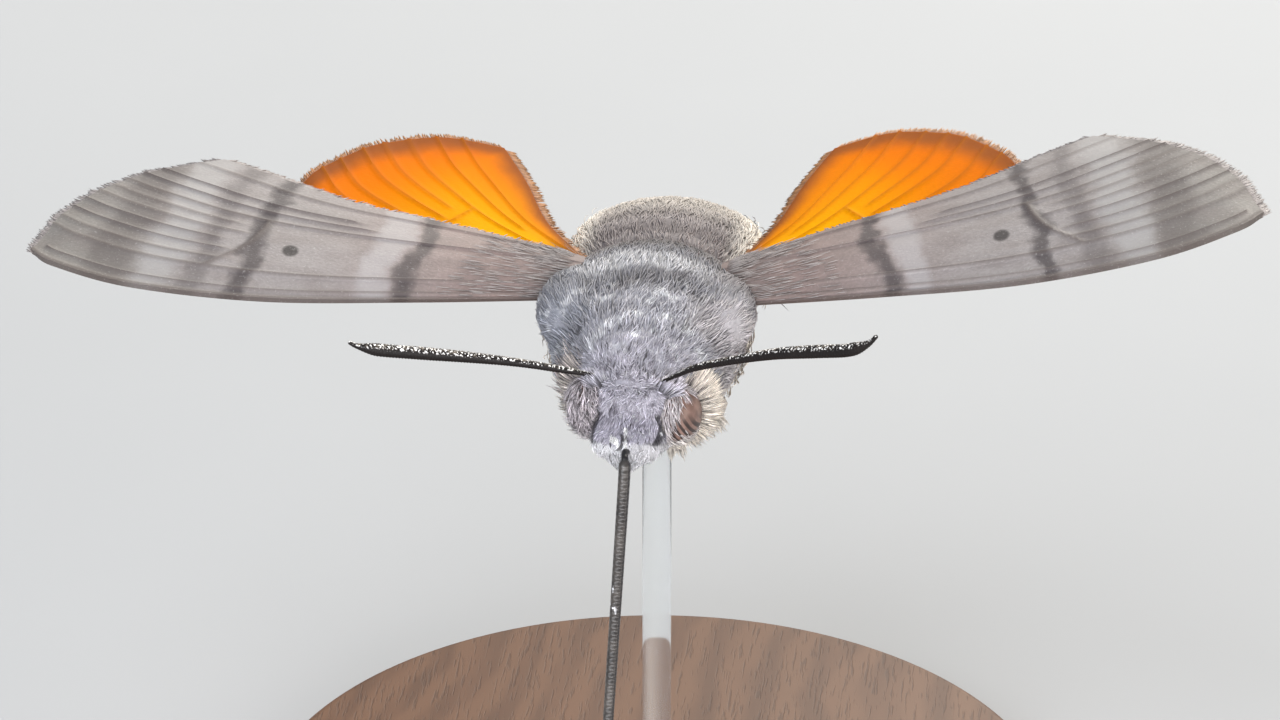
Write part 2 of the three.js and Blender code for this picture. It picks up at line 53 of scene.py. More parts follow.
AZIMUTH = math.radians(5)
ELEVATION = math.radians(27)
DISTANCE = 0.26
PICTURE = (1280, 720)  # pixels
HOVER_PIXEL = (650, 325)
PIXELS_PER_MM = 25  # at the thorax


def placed(name, data):
    """A new object in the scene."""
    made = bpy.data.objects.new(name, data)
    bpy.context.collection.objects.link(made)
    return made


level = math.cos(ELEVATION)
back = Vector((math.sin(AZIMUTH) * level, -math.cos(AZIMUTH) * level, math.sin(ELEVATION)))
right = Vector((math.cos(AZIMUTH), math.sin(AZIMUTH), 0))
up = back.cross(right)
camera = placed("camera", bpy.data.cameras.new("camera"))
camera.data.sensor_width = 36
camera.data.lens = PIXELS_PER_MM * (DISTANCE / MM) * camera.data.sensor_width / PICTURE[0]
camera.data.clip_start = 0.01
aside = (HOVER_PIXEL[0] - PICTURE[0] / 2) / PIXELS_PER_MM * MM
above = (PICTURE[1] / 2 - HOVER_PIXEL[1]) / PIXELS_PER_MM * MM
camera.location = HOVER + back * DISTANCE - right * aside - up * above
camera.rotation_euler = Matrix((right, up, back)).transposed().to_euler()
bpy.context.scene.camera = camera
bpy.context.scene.view_settings.view_transform = "Standard"


# Floor and light
# A plain pale table under soft studio light: a cool softbox over the moth's right shoulder, a
# warmer one at its left, one low in front of the face, and a bright one behind that shines through
# the hindwings and the coat's rim. Finishes are built from nodes, summed like plain numbers.
class Value:
    """A node's output in a finish."""

    def __init__(self, finish, socket):
        self.finish = finish
        self.socket = socket

    def sum(self, operation, *others):
        return self.finish.node("Math", {"operation": operation}, dict(enumerate((self, *others))))

    def __rsub__(self, other):
        return self.finish.node("Math", {"operation": "SUBTRACT"}, {0: other, 1: self})

    def rise(self, low, high):
        """0 below low, 1 above high and a smooth slope between; low above high turns it round."""
        settings = {"interpolation_type": "SMOOTHSTEP"}
        return self.finish.node("MapRange", settings, {0: self, 1: low, 2: high})

    def band(self, middle, half, soft):
        """1 within half of middle, falling to 0 over soft."""
        return (self - middle).size().rise(half + soft, half)

    def split(self):
        made = self.finish.tree.nodes.new("ShaderNodeSeparateXYZ")
        self.finish.tree.links.new(self.socket, made.inputs[0])
        return [Value(self.finish, socket) for socket in made.outputs]

    def noise(self, scale, detail=3, stretch=(1, 1, 1)):
        """Clouds about 0.5, so many to a millimetre."""
        sized = self.finish.node("VectorMath", {"operation": "MULTIPLY"}, {0: self, 1: stretch})
        return self.finish.node("TexNoise", {}, {"Vector": sized, "Scale": scale, "Detail": detail})

    def shade(self, value):
        """A colour made darker or lighter by a number about 1."""
        return self.finish.node("VectorMath", {"operation": "SCALE"}, {0: self, "Scale": value})


OPERATIONS = {
    "__add__": "ADD", "__radd__": "ADD", "__sub__": "SUBTRACT", "__mul__": "MULTIPLY",
    "__rmul__": "MULTIPLY", "__truediv__": "DIVIDE", "least": "MINIMUM", "most": "MAXIMUM",
    "size": "ABSOLUTE", "wave": "SINE", "part": "FRACT",
}
for method, operation in OPERATIONS.items():
    setattr(Value, method, partialmethod(Value.sum, operation))


class Finish:
    """A material under construction."""

    def __init__(self, name):
        self.material = bpy.data.materials.new(name)
        self.material.use_nodes = True
        self.tree = self.material.node_tree
        self.tree.nodes.clear()

    def node(self, kind, settings=None, inputs=None, output=0):
        made = self.tree.nodes.new(f"ShaderNode{kind}")
        for key, value in (settings or {}).items():
            setattr(made, key, value)
        for key, value in (inputs or {}).items():
            socket = made.inputs[key]
            if isinstance(value, Value):
                self.tree.links.new(value.socket, socket)
            elif socket.type == "RGBA" and len(value) == 3:
                socket.default_value = (*value, 1)
            else:
                socket.default_value = value
        return Value(self, made.outputs[output]) if made.outputs else None

    def place(self):
        """The point on the moth, in millimetres from the middle of its thorax."""
        spot = self.node("TexCoord", output="Object")
        return self.node("VectorMath", {"operation": "SUBTRACT"}, {0: spot, 1: HOVER}).shade(1 / MM)

    def attribute(self, name):
        return self.node("Attribute", {"attribute_name": name}, output="Fac")

    def mix(self, share, low, high):
        return self.node("Mix", {"data_type": "RGBA"}, {0: share, 6: low, 7: high}, output=2)

    def paint(self, color, *layers):
        """Lays colours over a colour in turn. Each layer is its share and its colour."""
        for share, over in layers:
            color = self.mix(share, color, over)
        return color

    def surface(self, bump=None, depth=0.02, through=None, **inputs):
        """Ends the material in a Principled shader. through is a share and colour of light let by."""
        named = {key.replace("_", " "): value for key, value in inputs.items()}
        if bump is not None:
            reliefs = {"Height": bump, "Distance": depth * MM, "Strength": 1.0}
            named["Normal"] = self.node("Bump", {}, reliefs)
        shader = self.node("BsdfPrincipled", {}, named)
        if through is not None:
            share, color = through
            passed = self.node("BsdfTranslucent", {}, {"Color": color})
            shader = self.node("MixShader", {}, {0: share, 1: shader, 2: passed})
        self.node("OutputMaterial", {}, {"Surface": shader})
        return self.material


def dress(piece, material, slot, *nodes):
    """Gives a finished piece its material and the nodes that it stands for; slot is not used."""
    piece.data.materials.clear()
    piece.data.materials.append(material)
    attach(piece, "root")
    if nodes:
        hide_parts(*nodes)


bpy.ops.mesh.primitive_plane_add(size=6)
floor = bpy.context.object
floor.name = "floor"
paper = Finish("pale_table")
grain = paper.node("TexCoord", output="Object").noise(30)
tone = paper.mix(grain, (0.36, 0.37, 0.385), (0.39, 0.40, 0.415))
floor.data.materials.append(paper.surface(Base_Color=tone, Roughness=0.85))

COOL = (0.93, 0.96, 1.0)
WARM = (1.0, 0.95, 0.86)
LAMPS = (  # name, place, size, watts and colour
    ("softbox", (-0.16, -0.30, 0.36), 0.30, 1.5, COOL),
    ("fill", (0.34, -0.22, 0.18), 0.26, 0.7, WARM),
    ("low_front", (0.04, -0.36, 0.035), 0.24, 1.65, (1.0, 0.97, 0.98)),
    ("behind", (0.10, 0.34, 0.26), 0.22, 2.7, WARM),
)
for name, place, size, watts, color in LAMPS:
    light = placed(name, bpy.data.lights.new(name, "AREA"))
    light.data.size = size
    light.data.energy = watts
    light.data.color = color
    light.location = place
    light.rotation_euler = (light.location - HOVER).to_track_quat("Z", "Y").to_euler()
world = bpy.data.worlds.new("studio")
bpy.context.scene.world = world
world.use_nodes = True
sky = world.node_tree.nodes["Background"].inputs
sky["Color"].default_value = (0.86, 0.92, 1.0, 1)
sky["Strength"].default_value = 0.4

# Skin
# One closed skin runs from the face to the tail, with the palps and the shoulders. It is modelled
# as overlapping rounded forms, fused and smoothed, and it lies under the coat. Forms are given in
# millimetres from the middle of the thorax, or of the head for what turns with it.
SIDES = {1: "left", -1: "right"}
HEAD_TURN = math.radians(-12)
NECK_Y = -5.6
HEAD = (0.25, -6.5, -0.45)
DROOP_START = math.radians(8)  # slope of the abdomen's middle line at its front
DROOP_END = math.radians(31)  # and at its last ring
ABDOMEN_FRONT = 3.4
ABDOMEN_LENGTH = 14.4  # down its middle line
ABDOMEN_HALF = (4.2, 2.72)
ABDOMEN_UNDER_COAT = (4.0, 2.32)
SEGMENTS = 7
VOXEL = 0.14


def on_head(x, y, z):
    """A point given from the middle of the head, turned with it."""
    out = Vector(HEAD) + Vector((x, y, z)) - Vector((0, NECK_Y, 0))
    out.rotate(Matrix.Rotation(HEAD_TURN, 3, "Z"))
    return out + Vector((0, NECK_Y, 0))


def behind(x, along, z):
    """Points in the abdomen's own run: along is measured down its bent middle line."""
    bend = (DROOP_END - DROOP_START) / ABDOMEN_LENGTH
    slope = DROOP_START + bend * np.asarray(along)
    y = ABDOMEN_FRONT + (np.sin(slope) - math.sin(DROOP_START)) / bend + z * np.sin(slope)
    height = (np.cos(slope) - math.cos(DROOP_START)) / bend + z * np.cos(slope)
    return np.stack(np.broadcast_arrays(x, y, height), axis=-1)


def girth(share):
    """Half width of the abdomen at a share of its length, as a share of its widest."""
    return 0.93 + 0.32 * share - 0.64 * share * share


def select(*pieces):
    """Selects these pieces alone and makes the first one active."""
    bpy.ops.object.select_all(action="DESELECT")
    for piece in pieces:
        piece.select_set(True)
    bpy.context.view_layer.objects.active = pieces[0]


def join(parts, name):
    """Joins parts into one piece."""
    select(*parts)
    bpy.ops.object.join()
    parts[0].name = name
    parts[0].data.name = name
    return parts[0]


def shape(piece, kind, **settings):
    """Works a modifier into the active piece."""
    modifier = piece.modifiers.new(kind, kind)
    for key, value in settings.items():
        setattr(modifier, key, value)
    bpy.ops.object.modifier_apply(modifier=kind)


def ball(middle, half, turn=0.0, segments=48, rings=32):
    """A rounded form, turned about the upright."""
    bpy.ops.mesh.primitive_uv_sphere_add(segments=segments, ring_count=rings, radius=1)
    made = bpy.context.object
    scale = Matrix.Diagonal((*half, 1))
    spin = Matrix.Rotation(turn, 4, "Z")
    made.data.transform(Matrix.Translation(middle) @ spin @ scale)
    return made


def to_place(made):
    """Takes a form from millimetres about the thorax to its place in metres."""
    made.data.transform(Matrix.Translation(HOVER) @ Matrix.Scale(MM, 4))
    made.data.update()


def read(items, key, width, kind=float):
    """The values of a mesh's vertices or triangles, one row each."""
    values = np.zeros(len(items) * width, kind)
    items.foreach_get(key, values)
    return values.reshape(-1, width)


forms = [
    ball((0, -0.1, 0.05), (4.05, 4.5, 3.1)),  # thorax
    ball((0, -2.6, 0.0), (3.75, 2.4, 2.95)),
    ball((0, -3.8, -0.05), (3.3, 2.0, 2.75)),  # collar
    ball((0.05, -4.9, -0.15), (2.85, 1.6, 2.5)),
    ball((0.15, -5.7, -0.3), (2.4, 1.4, 2.2)),
    ball(on_head(0, 0.05, 0), (2.12, 1.72, 1.85), HEAD_TURN),
    ball(on_head(0.1, -1.6, -1.15), (0.62, 0.9, 0.72), HEAD_TURN),  # chin
    ball(on_head(0.12, -1.75, -0.55), (0.55, 0.95, 0.75), HEAD_TURN),
]
for side in SIDES:
    forms.append(ball((side * 3.0, -1.3, 1.35), (1.35, 2.3, 1.35), side * 0.12))  # shoulder
    forms.append(ball(on_head(0.1 + side * 0.76, -1.5, -0.55), (0.76, 1.15, 0.7), HEAD_TURN))
belly = ball((0, 0, 0), (1, 1, 1), segments=64, rings=72)
spots = read(belly.data.vertices, "co", 3)
share = np.clip((spots[:, 1] + 1) / 2, 0, 1)
rounding = np.sqrt(np.clip(1 - spots[:, 1] ** 2, 0, 1))
ring = rounding ** 0.35 * girth(share) * (1 + 0.02 * np.abs(np.sin(share * SEGMENTS * math.pi)))
flat = np.maximum(rounding, 1e-6)
ring_x = spots[:, 0] / flat * ring * ABDOMEN_UNDER_COAT[0]
ring_z = spots[:, 2] / flat * ring * ABDOMEN_UNDER_COAT[1]
spots = behind(ring_x, share * ABDOMEN_LENGTH - 0.2, ring_z)
belly.data.vertices.foreach_set("co", spots.ravel())
forms.append(belly)
skin = join(forms, "skin")
shape(skin, "REMESH", mode="VOXEL", voxel_size=VOXEL)
shape(skin, "SMOOTH", factor=0.5, iterations=40)
bpy.ops.object.shade_smooth()

# Coat
# Dense flat scales like short fur: thin pointed tufts that overlap and lie back from the face over
# thorax and abdomen, gathered in small locks and parted across the top of the head. Each tuft is a
# solid blade rooted in the skin, and the tufts of one region are one mesh.
TUFT_STEPS = (0.0, 0.36, 0.72, 1.0)
TUFT_GIRTH = (0.5, 1.0, 0.72, 0.0)
TUFT_POINTS = 10  # three on each of three steps, and the tip
TUFT_DEPTH = 0.42  # height of the blade's ridge as a share of its width
TUFT_ROOT = 0.06  # how deep it is rooted
PATCH = 0.003  # width of a tuft's patch on the unwrap
LOCK = 11  # tufts to a lock
ABDOMEN_REACH = 13.2  # along Y
SAG = 0.016  # how its middle line bends down along Y
PARTING = np.array((on_head(-1.2, -0.95, 1.75), on_head(0.9, -0.95, 1.75)))  # from side to side
EYE = (1.75, -0.2, 0.15)
EYE_HALF = (0.9, 1.15, 1.12)
chance = np.random.default_rng(7)


def unit(vectors):
    return vectors / np.maximum(np.linalg.norm(vectors, axis=-1, keepdims=True), 1e-9)


def laid(vectors, normal):
    """Vectors laid square to the normals."""
    return unit(vectors - (vectors * normal).sum(1, keepdims=True) * normal)


def slope_in(value, low, high):
    """0 below low, 1 above high and a smooth slope between; low above high turns it round."""
    t = np.clip((value - low) / (high - low), 0, 1)
    return t * t * (3 - 2 * t)


def mark(mesh, name, values):
    """Stores a number at each vertex, for the finish to read."""
    mesh.attributes.new(name, "FLOAT", "POINT").data.foreach_set("value", values)


def tufts(name, root, normal, lie, length, width, lift, curl, unwrap, tone=None):
    """One mesh of blades. They start along lie raised by lift, in radians, and curl back down."""
    count = len(root)
    tone = chance.random(count) if tone is None else tone
    side = unit(np.cross(lie, normal))
    lift = np.broadcast_to(lift, count)[:, None]
    start = lie * np.cos(lift) + normal * np.sin(lift)
    points, reach, across = [], [], []
    for t, broad in zip(TUFT_STEPS, TUFT_GIRTH):
        bend = (curl * t * t)[:, None] * normal
        middle = root - normal * TUFT_ROOT + length[:, None] * (t * start - bend)
        half = (0.5 * width * broad)[:, None]
        ridge = (TUFT_DEPTH * width * broad)[:, None]
        for edge, offset in ((-1, -side * half), (1, side * half), (0, normal * ridge)):
            points.append(middle + offset)
            reach.append(t)
            across.append(edge if broad else 0)
    points = np.stack(points[:TUFT_POINTS], axis=1)
    reach, across = np.array(reach[:TUFT_POINTS]), np.array(across[:TUFT_POINTS])
    sides = ((0, 1), (1, 2), (2, 0))
    faces = [(low + a, low + 3 + a, low + 3 + b, low + b) for low in (0, 3) for a, b in sides]
    tips = [(6 + a, 9, 6 + b) for a, b in sides]
    pattern = np.array([v for face in faces + tips for v in face])
    corners = (pattern + TUFT_POINTS * np.arange(count)[:, None]).ravel()
    totals = np.tile([4] * len(faces) + [3] * len(tips), count)
    mesh = bpy.data.meshes.new(name)
    mesh.vertices.add(TUFT_POINTS * count)
    mesh.vertices.foreach_set("co", (points.reshape(-1, 3) * MM + np.array(HOVER)).ravel())
    mesh.loops.add(len(corners))
    mesh.loops.foreach_set("vertex_index", corners)
    mesh.polygons.add(len(totals))
    mesh.polygons.foreach_set("loop_start", np.concatenate(([0], np.cumsum(totals)[:-1])))
    mesh.update(calc_edges=True)
    mesh.polygons.foreach_set("use_smooth", np.ones(len(totals), bool))
    low, high = unwrap.min(0), unwrap.max(0)
    spot = 0.01 + 0.98 * (unwrap - low) / np.maximum(high - low, 1e-6)
    patch = spot[:, None, :] + PATCH / 2 * np.stack((across, 2 * reach - 1), axis=-1)
    layer = mesh.uv_layers.new(name="OFBake")
    layer.data.foreach_set("uv", patch.reshape(-1, 2)[corners].ravel())
    mark(mesh, "reach", np.tile(reach, count))
    mark(mesh, "tone", np.repeat(tone, TUFT_POINTS))
    return placed(name, mesh)


def surface_of(made):
    """Corners, normals and areas of a mesh's triangles."""
    made.data.calc_loop_triangles()
    corners = read(made.data.loop_triangles, "vertices", 3, int)
    triangles = read(made.data.vertices, "co", 3)[corners]
    cross = np.cross(triangles[:, 1] - triangles[:, 0], triangles[:, 2] - triangles[:, 0])
    normals = read(made.data.vertices, "normal", 3)[corners]
    return triangles, normals, np.linalg.norm(cross, axis=1) / 2


def scatter(surface, chosen, density):
    """Roots and normals at random on the chosen triangles, so many to a square millimetre."""
    triangles, normals, areas = surface
    share = np.where(chosen, areas, 0)
    count = int(share.sum() * density)
    picked = chance.choice(len(areas), count, p=share / share.sum())
    a, b = chance.random((2, count))
    over = a + b > 1
    a[over], b[over] = 1 - a[over], 1 - b[over]
    weights = np.stack((1 - a - b, a, b), axis=1)[:, :, None]
    return (triangles[picked] * weights).sum(1), unit((normals[picked] * weights).sum(1))


def along_skin(direction, normal, wander):
    """A direction laid on the skin, turned a little at random about the normal."""
    flat = laid(direction, normal)
    turn = (chance.normal(0, 1, len(normal)) * wander)[:, None]
    return flat * np.cos(turn) + np.cross(normal, flat) * np.sin(turn)


def body_unwrap(root):
    """The skin unrolled about the body's middle line: turn about it, and distance down it."""
    down = np.maximum(root[:, 1] - ABDOMEN_FRONT, 0)
    axis = -np.tan(DROOP_START) * down - SAG * down**2
    return np.stack((np.arctan2(root[:, 0], root[:, 2] - axis), root[:, 1]), axis=1)


def from_parting(root):
    """The way from the nearest point of the parting on the head."""
    run = PARTING[1] - PARTING[0]
    share = np.clip((root - PARTING[0]) @ run / (run @ run), 0, 1)[:, None]
    return root - PARTING[0] - share * run


def lie_of_body(root):
    """The way the coat points: away from the parting in front, and down the body's line behind."""
    share = np.clip((root[:, 1] - ABDOMEN_FRONT) / ABDOMEN_REACH, 0, 1)
    droop = DROOP_START + (DROOP_END - DROOP_START) * share
    droop = np.where(root[:, 1] > ABDOMEN_FRONT, droop, 0)
    backward = np.stack((0 * droop, np.cos(droop), -np.sin(droop)), axis=1)
    ahead = slope_in(root[:, 1], 1.5, -2.5)[:, None]
    return ahead * unit(from_parting(root)) + (1 - ahead) * backward


def in_eye(points, margin):
    inside = np.zeros(len(points), bool)
    for side in SIDES:
        middle = np.array(on_head(side * EYE[0], *EYE[1:]))
        inside |= (((points - middle) / (np.array(EYE_HALF) + margin)) ** 2).sum(1) < 1
    return inside


def from_head(x, y, z):
    """A place in the head's own frame, the other way about to on_head."""
    y = y - NECK_Y
    cos, sin = math.cos(HEAD_TURN), math.sin(HEAD_TURN)
    return x * cos + y * sin - HEAD[0], y * cos - x * sin + NECK_Y - HEAD[1], z - HEAD[2]


def gather(root, lie, length):
    """Leans tufts towards the tips of locks; gives their lies and a tone for each."""
    picked = chance.choice(len(root), max(1, len(root) // LOCK), replace=False)
    tree = KDTree(len(picked))
    for index, one in enumerate(picked):
        tree.insert(root[one], index)
    tree.balance()
    nearest = np.array([tree.find(point)[1] for point in root])
    home = picked[nearest]
    tip = root[home] + lie[home] * length[home][:, None] * 1.5
    return unit(lie + 0.8 * unit(tip - root)), chance.random(len(picked))[nearest]


def settle(tree, root, lie, length):
    """How far each tuft is raised, in radians, so that its tip rides on the skin and isn't under it."""
    rise = np.zeros(len(root))
    for index, tip in enumerate(root + lie * length[:, None]):
        near, normal, _, _ = tree.find_nearest(tip)
        rise[index] = -(Vector(tip) - near).dot(normal)
    return np.clip(rise / length, -0.3, 0.9)


surface = surface_of(skin)
middles = surface[0].mean(1)
y = middles[:, 1]
_, head_y, head_z = from_head(*middles.T)
on_palp = (head_y < -1.05) & (head_z < 0.05)
high = middles[:, 2] > -0.4 - 0.28 * np.maximum(y - ABDOMEN_FRONT, 0)
face, nape, chest, rear = y < -5.5, (y >= -5.5) & (y < -3.2), (y >= -3.2) & (y < 3.6), y >= 3.6
REGIONS = {  # where, tufts to a square millimetre, length, width, and lift in degrees
    "coat_palps": (on_palp, 260, 0.42, 0.042, 20),
    "coat_face": (face & ~on_palp, 250, 0.62, 0.043, 16),
    "coat_collar": (nape, 160, 1.05, 0.055, 15),
    "coat_thorax_top": (chest & high, 125, 1.05, 0.066, 15),
    "coat_thorax_under": (chest & ~high, 80, 1.1, 0.08, 16),
    "coat_abdomen_top": (rear & high, 94, 0.9, 0.072, 14),
    "coat_abdomen_under": (rear & ~high, 66, 0.9, 0.085, 13),
}
skin.data.calc_loop_triangles()
corners = [v.co for v in skin.data.vertices]
skin_tree = BVHTree.FromPolygons(corners, [t.vertices[:] for t in skin.data.loop_triangles])
coats = {}
for name, (where, density, usual, broad, raised) in REGIONS.items():
    root, normal = scatter(surface, where & ~in_eye(middles, 0.02), density)
    parted = np.exp(-((from_parting(root) ** 2).sum(1) / 0.7**2))
    matted = slope_in(root[:, 1], -4.6, -5.8)
    lie = along_skin(lie_of_body(root), normal, 0.32 + 0.16 * matted + 0.9 * parted)
    length = usual * chance.uniform(0.6, 1.25, len(root)) * (1 - 0.25 * parted)
    length = length * (1 - 0.3 * in_eye(root, 0.3))
    full = slope_in(root[:, 1], 3.4, 5.0) * slope_in(np.abs(normal[:, 0]), 0.25, 0.8)
    length = length * (1 + 0.35 * full)
    lie, lock = gather(root, lie, length)
    tone = 0.45 * lock + 0.55 * chance.random(len(root))
    width = broad * chance.uniform(0.7, 1.25, len(root))
    lift = np.radians(raised) * chance.uniform(0.3, 1.5, len(root))
    lift = lift + settle(skin_tree, root, lie, length) + 0.5 * parted + 0.2 * full
    curl = (0.2 + 0.3 * parted) * length
    coats[name] = tufts(name, root, normal, lie, length, width, lift, curl, body_unwrap(root), tone)

# Bunches
# Where the coat is longest it parts into bunches: a cream ruff behind the cheeks, pale locks on the
# breast, and cream and black tufts along the flanks. Each bunch fans out from one root.
RUFF = {"length": 1.35, "width": 0.8, "count": 280, "splay": 0.32}
BREAST = {"length": 1.7, "width": 0.8, "count": 170, "splay": 0.36}
FLANK = {"length": 2.0, "width": 0.5, "count": 150, "splay": 0.2}
BREAST_ROWS = {-0.55: (-10, -27, -44), -0.25: (-18, -35, -52, -70), 0.12: (-26, -45, -64, -82)}
FLANK_PALE = (0.9, 1.0, 0.15, 0.95, 0.2)  # ring by ring


def about(turn, side=1):
    """The way that a turn in degrees points: out to one side, and up."""
    return math.cos(math.radians(turn)) * side, math.sin(math.radians(turn))


def bunch(root, direction, up, length, width, count, splay):
    """Roots, normals, lies and lengths of the tufts of one bunch, splayed about its direction."""
    way = unit(np.array(direction, float))
    top = np.array(up, float)
    top = unit(top - (top @ way) * way)
    side = np.cross(way, top)
    a, b = chance.normal(0, 0.5, (2, count))
    spots = np.array(root, float) + width * (np.outer(a, side) + 0.35 * np.outer(b, top))
    spots = spots - np.outer(chance.uniform(0, 0.25, count) * length, way)
    lies = unit(way + splay * (np.outer(a, side) + 0.5 * np.outer(b, top)))
    lengths = length * (1.05 - 0.25 * np.abs(a)) * chance.uniform(0.75, 1.05, count)
    return spots, laid(unit(top + 0.3 * np.outer(b, side)), lies), lies, lengths


def bunches(name, made, width, curl=0.1):
    """Joins bunches into one piece. Each comes with a number: 0 black, 0.65 grey and 1 cream."""
    root, normal, lie, length = (np.concatenate(part) for part in zip(*(one for one, _ in made)))
    thick = width * chance.uniform(0.7, 1.3, len(root))
    lift = np.radians(8) * chance.uniform(0, 1.5, len(root))
    piece = tufts(name, root, normal, lie, length, thick, lift, curl * length, body_unwrap(root))
    pale = np.repeat([number for _, number in made], [len(one[0]) for one, _ in made])
    pale = np.clip(pale + chance.normal(0, 0.08, len(root)), 0, 1)
    mark(piece.data, "pale", np.repeat(pale, TUFT_POINTS))
    return piece


ruff, breast, flanks = [], [], []
for side in SIDES:
    for turn in range(10, -75, -12):
        across, rise = about(turn, side)
        for row in (0, 1):
            root = np.array((across * 2.5, 0, rise * 2.25)) * (0.92 + 0.14 * row)
            root = root + (0, -5.2 + 0.75 * row, -0.25) + chance.normal(0, 0.12, 3)
            out = 0.75 - 0.25 * row
            way = (across * out, 0.7, rise * out)
            pale = 0.78 + 0.22 * slope_in(turn, 8.0, -16.0) - 0.06 * row
            made = bunch(root, way, (across, -0.5, rise), **RUFF)
            # the ruff on the moth's right is made darker as painted shade
            ruff.append((made, pale if side > 0 else 0.9 * pale))
    for share, turns in BREAST_ROWS.items():
        ring = math.sqrt(1 - share * share)
        widen = 0.05 - 0.38 * share
        for turn in turns:
            across, rise = about(turn, side)
            root = np.array((across * 4.0 * ring, -0.1 + share * 4.5, rise * 2.9 * ring))
            root = root + chance.normal(0, 0.22, 3) * (0.5, 1.5, 0.5)
            way = (across * widen, 0.9, rise * widen)
            made = bunch(root, way, (across, 0, rise), **BREAST)
            breast.append((made, 0.8 + 0.2 * chance.random()))
    for ring in range(2, SEGMENTS):
        share = (ring + 0.4) / SEGMENTS
        out = ABDOMEN_HALF[0] * girth(share) * (0.93 if ring < 4 else 0.89)
        for lift in (-0.9, -0.15, 0.6):
            root = behind(side * out, share * ABDOMEN_LENGTH, lift)
            ahead = behind(side * (out + 0.45), share * ABDOMEN_LENGTH + 2.1, lift * 1.2)
            made = bunch(root, ahead - root, (side * 0.9, 0, 0.5), **FLANK)
            flanks.append((made, FLANK_PALE[ring - 2]))
coats["coat_ruff"] = bunches("coat_ruff", ruff, width=0.042, curl=0.3)
coats["coat_breast"] = bunches("coat_breast", breast, width=0.07, curl=0.45)
coats["coat_flanks"] = bunches("coat_flanks", flanks, width=0.065, curl=0.35)

# Tail fan
# Long flat scales like a small brush, spread in tiers from under the last ring of the abdomen,
# black in the middle and grey at the sides.
FAN_LENGTH = 4.3
FAN_SPREAD = math.radians(34)
FAN_TIERS = ((0.5, 0.98, 15), (0.1, 1.0, 17), (-0.35, 0.93, 15))  # height, reach and bunches
fan = []
for lift, reach, count in FAN_TIERS:
    for across in (2 * i / (count - 1) - 1 for i in range(count)):
        turn = across * FAN_SPREAD
        seat = ABDOMEN_HALF[0] * girth(1) * 0.62 * across
        along = ABDOMEN_LENGTH - 0.15 - 0.45 * across * across
        root = behind(seat, along, lift)
        ahead = behind(seat + math.sin(turn) * FAN_LENGTH, along + math.cos(turn) * FAN_LENGTH, lift * 0.3)
        length = (FAN_LENGTH + 0.75) * reach * (1 - 0.12 * abs(across))
        made = bunch(root, ahead - root, (0, 0.5, 0.9), length, width=0.34, count=22, splay=0.06)
        fan.append((made, 0.5 if abs(across) > 0.8 else 0.1))
coats["tail_brush"] = bunches("tail_brush", fan, width=0.2)

# Finish of skin and coat
# Grey above with a dark saddle mark, a light band and a dark line of painted shadow across the rear of
# the thorax where it meets the abdomen, browner on the abdomen with paler ring edges and a cream rear
# partly lit by painted backlight, and white to cream below. The palps have dark rims, partly painted
# shade, and a white tip. The skin has the same marks, in shadow.
GREY = (0.525, 0.52, 0.585)
LAVENDER = (0.70, 0.67, 0.765)
BROWN = (0.24, 0.205, 0.21)
DARK = (0.15, 0.125, 0.13)
LIGHT = (0.74, 0.74, 0.78)
CREAM = (0.92, 0.85, 0.76)
WHITE = (0.95, 0.95, 0.99)
BLACK = (0.03, 0.026, 0.032)


